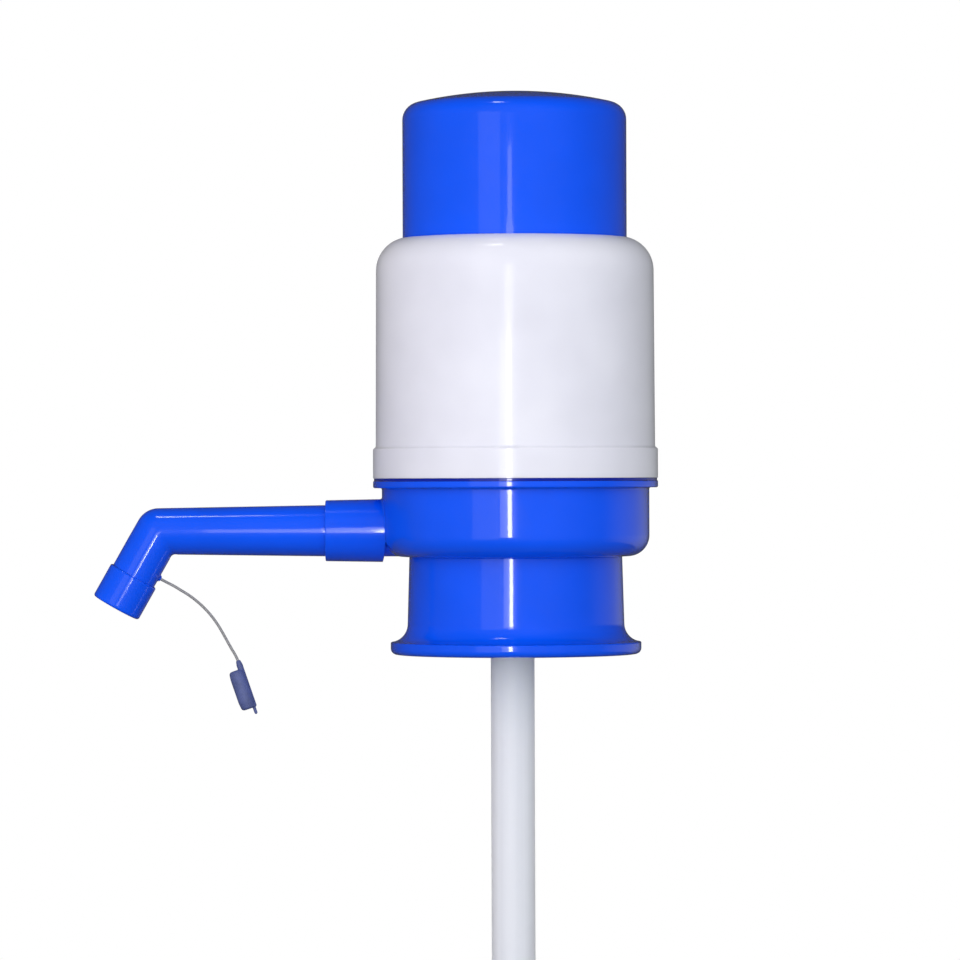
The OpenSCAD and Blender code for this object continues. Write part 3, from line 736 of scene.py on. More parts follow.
def area_light(name, azimuth, distance, width, height, radiance, elevation=0.0,
               aim=(0, 0, 0.05)):
    """A soft box facing aim, azimuth degrees round from the camera's side towards +X."""
    a, e = math.radians(azimuth), math.radians(elevation)
    away = Vector((math.sin(a) * math.cos(e), -math.cos(a) * math.cos(e), math.sin(e)))
    lamp = bpy.data.lights.new(name, "AREA")
    lamp.shape = "RECTANGLE"
    lamp.size, lamp.size_y = width, height
    lamp.energy = radiance * math.pi * width * height
    holder = bpy.data.objects.new(name, lamp)
    holder.location = Vector(aim) + away * distance
    holder.rotation_mode = "QUATERNION"
    holder.rotation_quaternion = away.to_track_quat("Z", "Y")
    holder.visible_camera = False
    bpy.context.scene.collection.objects.link(holder)


def white_for_camera(tree, seen, lit):
    """Mixes two shaders, the first for what the lens sees directly or through glass."""
    rays = add_node(tree, "ShaderNodeLightPath").outputs
    either = maths(tree, "MAXIMUM", rays["Is Camera Ray"], rays["Is Transmission Ray"])
    return add_node(tree, "ShaderNodeMixShader", {0: either, 1: lit, 2: seen})


def make_world(stage):
    """White studio, brightest level with the pump on the camera's side, and dim in the gloss."""
    world = bpy.data.worlds.new("studio")
    world.use_nodes = True
    tree = world.node_tree
    tree.nodes.clear()

    def room(**inputs):
        return add_node(tree, "ShaderNodeBackground", {"Color": (1, 1, 1, 1)} | inputs)

    place = add_node(tree, "ShaderNodeTexCoord").outputs["Generated"]
    parts = add_node(tree, "ShaderNodeSeparateXYZ", {0: place}).outputs
    below = maths(tree, "MINIMUM", parts["Z"], 0)
    turn = maths(tree, "MULTIPLY_ADD", below, FRONT_DROP, parts["Y"])
    total = spread_from(tree, turn, FRONT_FROM, FRONT_TO, stage.front, stage.back, "SMOOTHSTEP")
    for axis, low, high, strength in (("X", -SIDE_FROM, -1, stage.left),
                                      ("X", SIDE_FROM, 1, stage.right),
                                      ("Y", REAR_FROM, 1, stage.rear)):
        wing = spread_from(tree, parts[axis], low, high, 0, strength, "SMOOTHSTEP")
        total = maths(tree, "ADD", total, wing)
    across = spread_from(tree, parts["X"], -TINT_TO, TINT_TO, 0, 1)
    lit = room(Strength=total, Color=blend(tree, across, LEFT_TINT, RIGHT_TINT))
    beside = add_node(tree, "ShaderNodeVectorMath", {0: place, 1: GLOW_TOWARDS},
                      operation="DOT_PRODUCT").outputs["Value"]
    spread = spread_from(tree, beside, GLOW_FROM, 1, 0, stage.side, "SMOOTHSTEP")
    level = spread_from(tree, parts["Z"], GLOW_TOP, GLOW_FULL, 0, 1, "SMOOTHSTEP")
    mirrored = room(Strength=maths(tree, "MULTIPLY_ADD", spread, level, stage.mirrored))
    glossy = add_node(tree, "ShaderNodeLightPath").outputs["Is Glossy Ray"]
    mix = add_node(tree, "ShaderNodeMixShader", {0: glossy, 1: lit, 2: mirrored})
    add_node(tree, "ShaderNodeOutputWorld", {"Surface": white_for_camera(tree, room(), mix)})
    world.cycles.sampling_method = "NONE"  # so that every ray's kind is known to the tree
    bpy.context.scene.world = world


def make_floor():
    """Round pale floor under the tube's foot. Its edge fades into the white background."""
    radius, near, far, least = 1.2, 0.1, 0.75, 0.6
    pale, dim = (0.8, 0.8, 0.8, 1), (0.15, 0.15, 0.15, 1)
    level = CAD_BOX[0].z - 0.2 * MM
    floor = turned("floor", [(0, level), (radius, level), (radius, level - MM), (0, level - MM)],
                   segments=FINE_SEGMENTS)
    material = bpy.data.materials.new("pale_floor")
    material.use_nodes = True
    tree = material.node_tree
    tree.nodes.clear()
    place = add_node(tree, "ShaderNodeTexCoord").outputs["Object"]
    flat = add_node(tree, "ShaderNodeVectorMath", {0: place, 1: (1, 1, 0)}, operation="MULTIPLY")
    distance = add_node(tree, "ShaderNodeVectorMath", {0: flat}, operation="LENGTH")
    fade = spread_from(tree, distance.outputs["Value"], near * radius, far * radius, least, 1,
                       "SMOOTHSTEP")
    paint = add_node(tree, "ShaderNodeBsdfDiffuse", {"Color": pale})
    glow = add_node(tree, "ShaderNodeEmission")
    seen = add_node(tree, "ShaderNodeMixShader", {0: fade, 1: paint, 2: glow})
    shade = add_node(tree, "ShaderNodeBsdfDiffuse", {"Color": dim})
    add_node(tree, "ShaderNodeOutputMaterial", {"Surface": white_for_camera(tree, seen, shade)})
    floor.data.materials.append(material)


class PUMP_OT_stage(Operator):
    """Sets the camera at the photograph's view, the lights, the white room and the floor."""

    bl_idname = "pump.stage"
    bl_label = "Camera, lights and floor"

    def execute(self, context):
        stage = context.scene.pump_stage
        scene = context.scene
        distance = stage.camera_distance
        lens = bpy.data.cameras.new("camera")
        lens.sensor_width = 36.0
        lens.lens = lens.sensor_width * distance * PX_PER_M / PICTURE_PX
        camera = bpy.data.objects.new("camera", lens)
        middle = PICTURE_PX / 2
        camera.location = ((middle - ORIGIN_PX[0]) / PX_PER_M, -distance,
                           (ORIGIN_PX[1] - middle) / PX_PER_M)
        camera.rotation_euler = (math.pi / 2, math.radians(LEAN_DEG), 0)
        scene.collection.objects.link(camera)
        scene.camera = camera
        scene.view_settings.view_transform = "Standard"
        for name, width, height, low, share in KEY_PARTS:
            area_light(name, KEY_AZIMUTH, KEY_DISTANCE, width, height, stage.key * share,
                       aim=(0, 0, low + height / 2))
        area_light("key_wing", KEY_AZIMUTH - 4.7, KEY_DISTANCE, 0.07, 0.154, stage.key * 0.09,
                   aim=(0, 0, 0.012))
        area_light("soft_box", -26, 1.9, 0.75, 1.1, stage.soft)
        area_light("top_light", -39, 1.5, 0.19, 0.12, stage.top, elevation=73.5)
        make_world(stage)
        make_floor()
        return {"FINISHED"}


# ---------------------------------------------------------------- tether and stopper

# Points of the tether as (x, z) in millimetres, from its lug to the stopper
TETHER_ROUTE = [(-101.4, -3.9), (-99.5, -4.9), (-97.6, -5.9), (-95.8, -7.0), (-94.0, -8.1),
                (-92.3, -9.3), (-90.7, -10.6), (-89.2, -12.0), (-87.8, -13.5), (-86.5, -15.1),
                (-85.3, -16.8), (-84.2, -18.6), (-83.2, -20.4), (-82.2, -22.2), (-81.2, -24.0),
                (-80.3, -25.5), (-79.5, -27.1)]


def tether_points():
    """The route in metres, its ends sunk a little into the lug and the stopper."""
    z = sizes()
    sink = 0.3 * MM
    points = [Vector((x * MM, 0, h * MM)) for x, h in TETHER_ROUTE]
    points[0] -= sink * Vector((math.cos(z.leg_tilt), 0, -math.sin(z.leg_tilt)))
    points[-1] += sink * Vector((math.sin(z.stopper_tilt), 0, -math.cos(z.stopper_tilt)))
    return points


def curve_length(spline, steps=12):
    total = 0.0
    points = list(spline.bezier_points)
    for a, b in zip(points, points[1:]):
        line = interpolate_bezier(a.co, a.handle_right, b.handle_left, b.co, steps)
        total += sum((q - p).length for p, q in zip(line, line[1:]))
    return total


class PUMP_OT_tether(Operator):
    """Makes the nylon line and the stopper that hangs on it."""

    bl_idname = "pump.tether"
    bl_label = "Tether and stopper"

    def execute(self, context):
        z = sizes()
        points = tether_points()
        curve = bpy.data.curves.new("tether", "CURVE")
        curve.dimensions = "3D"
        curve.bevel_depth = z.line_diameter / 2
        curve.bevel_resolution = 4
        curve.resolution_u = 5
        curve.use_fill_caps = True
        spline = curve.splines.new("BEZIER")
        spline.bezier_points.add(len(points) - 1)
        for knot, point in zip(spline.bezier_points, points):
            knot.co = point
            knot.handle_left_type = knot.handle_right_type = "AUTO"
        line = bpy.data.objects.new("tether", curve)
        context.scene.collection.objects.link(line)
        context.view_layer.update()
        stopper = self.stopper(points[-1])
        dress(line, "tether_cord", "spout", "tether_line")
        dress(stopper, "stopper_rubber", "spout", "tether_plug")
        round(curve_length(spline), 4)
        return {"FINISHED"}

    def stopper(self, end):
        """Soft stopper with the line's eye moulded along its side and a short tail below."""
        z = sizes()
        place = (Matrix.Translation(end) @ Matrix.Rotation(math.pi - z.stopper_tilt, 4, "Y"))
        eye, rise = 0.9 * MM, 2.3 * MM
        offset = Matrix.Translation((z.stopper_radius - eye + 0.15 * MM, 0, 0))
        foot = rise + z.stopper_length
        stem = turned("stem", [(0, -0.25 * MM), (0.62 * MM, -0.25 * MM, 0.3 * MM),
                               (eye, 1.1 * MM), (eye, foot, 0.5 * MM), (0, foot)],
                      place, 32)
        body = turned("body", [(0, rise), (z.stopper_radius - 0.25 * MM, rise, 0.9 * MM),
                               (z.stopper_radius, rise + 2.2 * MM),
                               (z.stopper_radius, foot - 2.4 * MM),
                               (z.stopper_radius - 0.3 * MM, foot, 0.9 * MM), (0, foot)],
                      place @ offset, 48)
        tail = turned("tail", [(0, foot - 1.5 * MM), (0.5 * MM, foot - 1.5 * MM),
                               (0.45 * MM, foot + 1.9 * MM, 0.3 * MM), (0, foot + 2.1 * MM)],
                      place, 24)
        whole = joined("stopper", [stem, body, tail])
        melt = whole.modifiers.new("melt", "REMESH")
        melt.mode = "VOXEL"
        melt.voxel_size = 0.13 * MM
        melt.use_smooth_shade = True
        relax = whole.modifiers.new("relax", "SMOOTH")
        relax.factor = 0.5
        relax.iterations = 5
        return modified(whole)


# ---------------------------------------------------------------- press cap


def crown_arc(radius, corner, drop, steps=12):
    """The crown's arc from its pole to its corner, drop below the outer surface."""
    z = sizes()
    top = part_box("press_cap")[1].z
    centre = top - z.crown_radius
    end = math.degrees(math.asin((z.cap_radius - z.crown_corner)
                                 / (z.crown_radius - z.crown_corner)))
    corner_z = centre + (z.crown_radius - z.crown_corner) * math.cos(math.radians(end))
    dome = arc((0, centre), radius, 90, 90 - end, steps)[1:-1]
    bend = arc((z.cap_radius - z.crown_corner, corner_z), corner, 90 - end, 0, 8)
    return [(0, top - drop)] + dome + bend


class PUMP_OT_press_cap(Operator):
    """Makes the press cap with its domed crown, its stop flange and the ribs under the crown."""

    bl_idname = "pump.press_cap"
    bl_label = "Press cap"

    def execute(self, context):
        z = sizes()
        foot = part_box("press_cap")[0].z
        stop_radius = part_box("press_cap")[1].x
        stop_top = foot + z.stop_thickness
        bore = z.cap_radius - z.cap_wall
        outside = crown_arc(z.crown_radius, z.crown_corner, 0)
        inside = crown_arc(z.crown_radius - z.cap_wall, z.crown_corner - z.cap_wall, z.cap_wall)
        cap = turned("cap_shell", outside
                     + [(z.cap_radius, stop_top, z.edge), (stop_radius, stop_top, z.edge),
                        (stop_radius, foot, z.edge), (bore, foot, z.edge)]
                     + inside[::-1])
        dress(cap, "blue_plastic", "cap", "press_cap")
        self.ribs(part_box("pressure_disc")[1].z, bore)
        return {"FINISHED"}

    def ribs(self, foot, bore):
        """Ribs that stand on the pressure disc and run up into the crown."""
        z = sizes()
        start, end, half = 12 * MM, bore - 5 * MM, 0.8 * MM
        crown_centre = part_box("press_cap")[1].z - z.crown_radius
        crown = math.sqrt(z.crown_radius ** 2 - end ** 2) + crown_centre - z.cap_wall / 2
        side = rounded([(start, foot, 0.3 * MM), (end, foot, 0.3 * MM), (end, crown),
                        (start, crown)])
        points = [(r, sign * half, h) for sign in (-1, 1) for r, h in side]
        count = len(side)
        faces = [list(range(count))[::-1], list(range(count, 2 * count))]
        faces += [[i, (i + 1) % count, count + (i + 1) % count, count + i] for i in range(count)]
        rib = mesh_object("cap_ribs", points, faces, smooth=False)
        round_axis(rib, z.rib_count, 0, 360 / z.rib_count, material=material_of("blue_plastic"))
        dress(rib, "blue_plastic", "cap")


# ---------------------------------------------------------------- sleeve and bellows


class PUMP_OT_outer_sleeve(Operator):
    """Makes the milky sleeve with its round shoulder, guide ring and skirt."""

    bl_idname = "pump.outer_sleeve"
    bl_label = "Outer sleeve"

    def execute(self, context):
        z = sizes()
        low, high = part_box("outer_sleeve")
        foot, top, skirt = low.z, high.z, high.x
        skirt_top = foot + z.skirt_height
        spigot_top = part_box("base_cup")[1].z
        centre_x = z.sleeve_radius - z.shoulder_radius
        end = math.degrees(math.acos((z.mouth_radius - centre_x) / z.shoulder_radius))
        centre = (centre_x, top - z.shoulder_radius * math.sin(math.radians(end)))
        guide = z.mouth_radius + z.sleeve_wall
        guide_foot = top - z.guide_height
        inner = z.shoulder_radius - z.sleeve_wall
        inner_end = math.degrees(math.acos((guide - centre_x) / inner))
        step = spigot_top + z.loose_gap
        lifted = foot + z.seam_height
        corners = [(skirt, lifted, 0.15 * MM), (skirt, skirt_top, 0.5 * MM),
                   (z.sleeve_foot_radius, skirt_top + z.skirt_slope, 0.6 * MM)]
        corners += arc(centre, z.shoulder_radius, 0, end, 14)[:-1]
        corners += [(z.mouth_radius, top, 0.4 * MM), (z.mouth_radius, guide_foot, z.edge),
                    (guide, guide_foot, z.edge)]
        corners += arc(centre, inner, inner_end, 0, 10)
        corners += [(z.sleeve_foot_radius - z.sleeve_wall, step), (z.skirt_bore, step),
                    (z.skirt_bore, lifted, 0.15 * MM)]
        sleeve = turned("sleeve", corners)
        dress(sleeve, "milky_plastic", "base", "outer_sleeve")
        return {"FINISHED"}


def bellows_tree():
    """Geometry Nodes tree that turns a rippled wall from the number and depth of its folds."""
    tree, entry = new_group("bellows_wall",
                            (("Geometry", "Geometry"), ("Foot", "Float"), ("Head", "Float"),
                             ("Folds", "Int"), ("Root", "Float"), ("Crest", "Float"),
                             ("Rows", "Int"), ("Sides", "Int"), ("Material", "Material")),
                            "Wall")
    ends = {socket: add_node(tree, "ShaderNodeCombineXYZ", {"Z": entry[level]})
            for socket, level in (("Start", "Foot"), ("End", "Head"))}
    line = add_node(tree, "GeometryNodeCurvePrimitiveLine", ends)
    rows = add_node(tree, "GeometryNodeResampleCurve", {"Curve": line, "Count": entry["Rows"]})
    along = add_node(tree, "GeometryNodeSplineParameter").outputs["Factor"]
    phase = maths(tree, "MULTIPLY", maths(tree, "MULTIPLY", along, entry["Folds"]), 2 * math.pi)
    # A cosine pressed towards its ends gives the short flats at the root and the crest
    half = maths(tree, "MULTIPLY", maths(tree, "COSINE", phase), 0.5)
    wave = maths(tree, "SUBTRACT", 0.5, half)
    eased = maths(tree, "SMOOTH_MIN", maths(tree, "MULTIPLY_ADD", wave, 1.12, -0.06), 1.0, 0.05)
    eased = maths(tree, "SMOOTH_MAX", eased, 0.0, 0.05)
    depth = maths(tree, "SUBTRACT", entry["Crest"], entry["Root"])
    radius = maths(tree, "MULTIPLY_ADD", eased, depth, entry["Root"])
    hoop = add_node(tree, "GeometryNodeCurvePrimitiveCircle",
                    {"Radius": 1.0, "Resolution": entry["Sides"]})
    sweep = add_node(tree, "GeometryNodeCurveToMesh",
                     {"Curve": rows, "Profile Curve": hoop, "Scale": radius})
    return end_group(tree, sweep, entry["Material"])


class PUMP_OT_bellows(Operator):
    """Makes the folded bellows; on the real pump it shortens as the cap is pressed."""

    bl_idname = "pump.bellows"
    bl_label = "Bellows"

    def execute(self, context):
        z = sizes()
        low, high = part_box("bellows")
        foot, head = low.z + z.bellows_flange, high.z - z.bellows_flange
        folds = mesh_object("bellows_wall", [], [])
        maker = folds.modifiers.new("folds", "NODES")
        maker.node_group = bellows_tree()
        set_inputs(maker, {"Foot": foot - 0.4 * MM, "Head": head + 0.4 * MM,
                           "Folds": z.fold_count, "Root": z.fold_root, "Crest": z.fold_crest,
                           "Rows": FOLD_ROWS * z.fold_count + 1, "Sides": BELLOWS_SIDES,
                           "Material": material_of("bellows_plastic")})
        wall = folds.modifiers.new("wall", "SOLIDIFY")
        wall.thickness = z.bellows_wall
        wall.offset = -1
        modified(folds)
        self.outwards(folds.data)
        flange_radius = high.x
        head_radius = z.fold_crest - 2.2 * MM
        inner = z.fold_root - z.bellows_wall
        lower = turned("lower", ring_outline(flange_radius, inner, low.z, foot, 0.3 * MM))
        upper = turned("upper", ring_outline(head_radius, inner, head, high.z, 0.3 * MM))
        bellows = joined("bellows_folds", [folds, lower, upper])
        bellows.data.polygons.foreach_set("use_smooth", [True] * len(bellows.data.polygons))
        dress(bellows, "bellows_plastic", "base", "bellows")
        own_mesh(bellows)
        return {"FINISHED"}

    def outwards(self, mesh):
        """Turns the faces outwards, because the tree and the wall's thickness don't."""
        made = bmesh.new()
        made.from_mesh(mesh)
        bmesh.ops.recalc_face_normals(made, faces=made.faces)
        made.to_mesh(mesh)
        made.free()


# ---------------------------------------------------------------- valves and inner rings

INNER_FINISH = {"pressure_disc": "inner_plastic", "valve_plate": "inner_plastic",
                "inlet_valve_pin": "blue_plastic", "outlet_valve_pin": "blue_plastic",
                "inlet_valve_disc": "soft_rubber", "outlet_valve_disc": "soft_rubber",
                "bellows_clamp_ring": "blue_plastic", "spout_o_ring": "soft_rubber"}


class PUMP_OT_valves(Operator):
    """Gives the plates, valves and rings inside the pump their materials."""

    bl_idname = "pump.valves"
    bl_label = "Valves and inner rings"

    def execute(self, context):
        for node, slot in INNER_FINISH.items():
            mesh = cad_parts[node].data
            mesh.materials.clear()
            mesh.materials.append(material_of(slot))
        return {"FINISHED"}


# ---------------------------------------------------------------- base cup


def saddle_fillet(steps=72):
    """Small fillet round the socket where it grows out of the cup's side. It fades out below."""
    z = sizes()
    axis_z = spout_height()
    fade_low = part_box("neck_seal")[1].z + z.cup_corner
    root, inset = z.socket_root, 0.25 * MM
    reach_angle = math.radians(128)  # how far round the socket it runs each way from its top
    points, faces = [], []
    size = ARC_STEPS + 2
    for i in range(steps + 1):
        t = reach_angle * (2 * i / steps - 1)
        out = Vector((0, math.sin(t), math.cos(t)))
        y = root * out.y
        height = axis_z + root * out.z
        x = -math.sqrt(z.cup_radius ** 2 - y ** 2)
        corner = Vector((x, y, height))
        cup_out = Vector((x, y, 0)).normalized()
        share = min(1.0, max(0.02, (height - fade_low) / (2.5 * MM)))
        radius = z.saddle_fillet * share
        centre = corner + (out + cup_out) * radius / (1 + out.dot(cup_out))
        points += [centre + radius * spoke for spoke in fan(-out, -cup_out, ARC_STEPS)]
        points.append(corner - (out + cup_out) * inset)
    for i in range(steps):
        for k in range(size):
            a, b = i * size + k, i * size + (k + 1) % size
            faces.append([a, b, b + size, a + size])
    faces.append(list(range(size)))
    faces.append([steps * size + k for k in range(size)][::-1])
    return mesh_object("saddle", points, faces)


class PUMP_OT_base_cup(Operator):
    """Makes the base cup with its rim, spout socket, duct, tube boss and air holes."""

    bl_idname = "pump.base_cup"
    bl_label = "Base cup"

    def execute(self, context):
        cup = solid("cup", [self.shell(), self.socket(), self.duct(), self.boss(), self.riser()],
                    self.bores())
        cup = self.with_fillet(cup)
        dress(cup, "blue_plastic", "base", "base_cup")
        return {"FINISHED"}

    def with_fillet(self, cup):
        """Adds the fillet at the socket's root, with the cup's own normals kept."""
        fillet = saddle_fillet()
        with bpy.context.temp_override(active_object=cup, selected_editable_objects=[cup, fillet],
                                       selected_objects=[cup, fillet], object=cup):
            bpy.ops.object.join()
        return cup

    def levels(self):
        """Heights of the cup: underside, rim's underside and top, ledge and spigot's top."""
        z = sizes()
        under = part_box("neck_seal")[1].z
        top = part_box("base_cup")[1].z
        rim_top = top - z.spigot_height
        return under, rim_top - z.rim_thickness, rim_top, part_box("valve_plate")[0].z, top

    def shell(self):
        z = sizes()
        under, rim, rim_top, ledge, top = self.levels()
        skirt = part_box("base_cup")[1].x
        seam_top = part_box("outer_sleeve")[0].z + z.seam_height
        bore = z.cup_radius - z.cup_wall
        inner_corner = z.cup_corner - z.cup_wall
        corners = [(0, under), (z.neck_bore, under, 0.3 * MM),
                   (z.neck_bore, -z.neck_spigot_depth, z.edge),
                   (z.neck_spigot, -z.neck_spigot_depth, z.edge), (z.neck_spigot, under, 0.2 * MM)]
        corners += arc((z.cup_radius - z.cup_corner, under + z.cup_corner), z.cup_corner,
                       -90, 0, 12)
        corners += [(z.cup_radius, rim, 0.5 * MM), (skirt, rim, 0.5 * MM),
                    (skirt, rim_top - z.seam_height, 0.15 * MM),
                    (skirt - z.seam_depth, rim_top - z.seam_height, 0.05 * MM),
                    (skirt - z.seam_depth, seam_top, 0.05 * MM),
                    (z.spigot_radius, seam_top, 0.1 * MM),
                    (z.spigot_radius, top, z.edge), (bore, top, z.edge),
                    (bore, ledge, 0.2 * MM), (bore - z.ledge_width, ledge, 0.2 * MM),
                    (bore, ledge - z.ledge_depth, 0.3 * MM)]
        corners += arc((bore - inner_corner, under + z.cup_wall + inner_corner), inner_corner,
                       0, -90, 6)
        corners += [(0, under + z.cup_wall)]
        return turned("cup_shell", corners)

    def socket(self):
        """Tapered socket of the spout, ending inside the cup's wall."""
        z = sizes()
        mouth = -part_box("base_cup")[0].x
        inset = 4 * MM
        start = z.cup_radius - inset
        rod = turned("socket", [(0, 0), (z.socket_root, 0),
                                (z.socket_mouth, mouth - start, 0.3 * MM), (0, mouth - start)],
                     along_spout(start), FINE_SEGMENTS)
        clear = turned("clear", rod_outline(z.cup_radius - 0.2 * MM, -20 * MM, 40 * MM, MM))
        return solid("socket", [rod], [clear])

    def duct(self):
        z = sizes()
        end = z.cup_radius + 0.6 * MM
        return turned("duct", rod_outline(z.duct_radius, 0, end - z.tube_offset, 0.3 * MM),
                      along_spout(z.tube_offset), FINE_SEGMENTS)

    def boss(self):
        z = sizes()
        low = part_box("base_cup")[0].z
        under = self.levels()[0]
        return turned("boss", [(0, low), (z.boss_radius, low, 0.5 * MM),
                               (z.boss_radius, under + z.cup_wall - 0.1 * MM),
                               (0, under + z.cup_wall - 0.1 * MM)],
                      on_tube_axis(), FINE_SEGMENTS)

    def riser(self):
        z = sizes()
        under = self.levels()[0]
        top = spout_height() + z.duct_radius + 0.3 * MM
        return turned("riser", [(0, under + 0.1 * MM), (z.riser_radius, under + 0.1 * MM),
                                (z.riser_radius, top, 0.5 * MM), (0, top)],
                      on_tube_axis(), FINE_SEGMENTS)

    def bores(self):
        """Tube socket, gland seat, the way up, the duct's and the socket's bores, and air holes."""
        z = sizes()
        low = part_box("base_cup")[0].z
        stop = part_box("suction_tube_upper")[1].z
        gland_low, gland_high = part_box("tube_gland")
        gland = (gland_high.x - gland_low.x) / 2 + z.fit_gap
        tube = on_tube_axis()
        past = 0.5 * MM
        mouth = -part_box("base_cup")[0].x
        floor = mouth - z.socket_depth
        cuts = [("tube_socket", rod_outline(z.tube_radius + z.fit_gap, low - past, stop, 0.1 * MM),
                 tube),
                ("gland_seat", rod_outline(gland, low - past, gland_high.z, 0.1 * MM), tube),
                ("way_up", rod_outline(z.tube_bore, stop - past, spout_height(), 0.1 * MM), tube),
                ("duct_bore", rod_outline(z.duct_bore, 0, floor - z.tube_offset + past, 0.1 * MM),
                 along_spout(z.tube_offset)),
                ("socket_bore", rod_outline(z.pipe_radius + z.fit_gap, 0, z.socket_depth + past,
                                            0.1 * MM), along_spout(floor))]
        made = [turned(name, corners, place, FINE_SEGMENTS) for name, corners, place in cuts]
        under = self.levels()[0]
        hole = turned("air_holes", rod_outline(z.air_hole_radius, under - past,
                                               under + z.cup_wall + past, 0.1 * MM), segments=48)
        round_axis(hole, z.air_holes, -120, 240 / (z.air_holes - 1), z.air_circle)
        made.append(hole)
        return made


# ---------------------------------------------------------------- neck collar, seal and gland


class PUMP_OT_neck(Operator):
    """Makes the neck collar with its flared flange, the neck seal and the tube's gland."""

    bl_idname = "pump.neck"
    bl_label = "Neck collar and seals"

    def execute(self, context):
        self.collar()
        self.seal()
        self.gland()
        return {"FINISHED"}

    def collar(self):
        z = sizes()
        low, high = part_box("neck_collar")
        foot, flange, top = low.z, high.x, high.z
        flange_top = foot + z.flange_thickness
        inner = z.neck_spigot + z.fit_gap
        shoulder = -z.neck_spigot_depth - z.loose_gap
        centre = (z.neck_foot_radius + z.flare_radius, flange_top + z.flare_radius)
        end = 180 + math.degrees(math.acos((centre[0] - flange + 0.5 * MM) / z.flare_radius))
        lead = MM
        corners = [(inner, top, 0.2 * MM), (inner, shoulder, 0.2 * MM),
                   (z.neck_bore, shoulder, z.edge), (z.neck_bore, foot + 2 * lead, 0.3 * MM),
                   (z.neck_bore + lead, foot, 0.3 * MM), (flange, foot, z.flange_round),
                   (flange, flange_top, 0.35 * MM)]
        flare = arc(centre, z.flare_radius, end, 180, 12)
        corners += [(*flare[0], 0.3 * MM)] + flare[1:]
        corners += [(z.neck_radius, top, 0.25 * MM)]
        dress(turned("collar", corners), "blue_plastic", "base", "neck_collar")

    def seal(self):
        z = sizes()
        low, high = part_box("neck_seal")
        ring = turned("seal", ring_outline(high.x, z.seal_hole, low.z, high.z, 0.4 * MM))
        dress(ring, "soft_rubber", "base", "neck_seal")

    def gland(self):
        z = sizes()
        low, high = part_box("tube_gland")
        outer = (high.x - low.x) / 2
        ring = turned("gland", ring_outline(outer, z.tube_radius + z.fit_gap / 2, low.z, high.z,
                                            0.3 * MM),
                      on_tube_axis(), FINE_SEGMENTS)
        dress(ring, "soft_rubber", "base", "tube_gland")


# ---------------------------------------------------------------- suction tube


class PUMP_OT_suction_tube(Operator):
    """Makes the three sections of the suction tube and the two couplers between them."""

    bl_idname = "pump.suction_tube"
    bl_label = "Suction tube"

    def execute(self, context):
        for name in ("suction_tube_upper", "suction_tube_middle"):
            self.section(name)
        self.notched(self.section("suction_tube_lower", dressed=False))
        for name in ("tube_coupler_upper", "tube_coupler_lower"):
            self.coupler(name)
        return {"FINISHED"}

    def section(self, node, dressed=True):
        z = sizes()
        low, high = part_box(node)
        tube = turned(node + "_skin", ring_outline(z.tube_radius, z.tube_bore, low.z, high.z,
                                                   0.25 * MM), on_tube_axis(), FINE_SEGMENTS)
        return dress(tube, "tube_plastic", "base", node) if dressed else tube

    def notched(self, tube):
        """Cuts crossed notches in the foot, so that it can't close itself on the jug's floor."""
        z = sizes()
        name = tube.name
        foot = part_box("suction_tube_lower")[0].z
        half, reach, past = z.notch_width / 2, z.tube_radius + MM, MM
        points = [(x, y, h) for h in (foot - past, foot + z.notch_height)
                  for x, y in ((-reach, -half), (reach, -half), (reach, half), (-reach, half))]
        faces = [(0, 3, 2, 1), (4, 5, 6, 7), (0, 1, 5, 4), (1, 2, 6, 5), (2, 3, 7, 6), (3, 0, 4, 7)]
        bar = mesh_object("notches", points, faces, smooth=False)
        soften = bar.modifiers.new("soften", "BEVEL")
        soften.width, soften.segments = 0.2 * MM, 3
        modified(bar)
        round_axis(bar, 2, 0, 90)
        for vertex in bar.data.vertices:
            vertex.co.x -= z.tube_offset
        tube.name = "uncut"
        cut = solid(name, [tube], [bar])
        dress(cut, "tube_plastic", "base", "suction_tube_lower")

    def coupler(self, node):
        z = sizes()
        low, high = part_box(node)
        middle = (low.z + high.z) / 2
        bore, stop = z.tube_radius + z.fit_gap, 0.6 * MM
        corners = [(bore, low.z, 0.3 * MM), (z.coupler_radius, low.z, 0.6 * MM),
                   (z.coupler_radius, high.z, 0.6 * MM), (bore, high.z, 0.3 * MM),
                   (bore, middle + stop), (z.tube_bore, middle + stop, 0.2 * MM),
                   (z.tube_bore, middle - stop, 0.2 * MM), (bore, middle - stop)]
        ring = turned(node + "_skin", corners, on_tube_axis(), FINE_SEGMENTS)
        dress(ring, "blue_plastic", "base", node)


# ---------------------------------------------------------------- spout


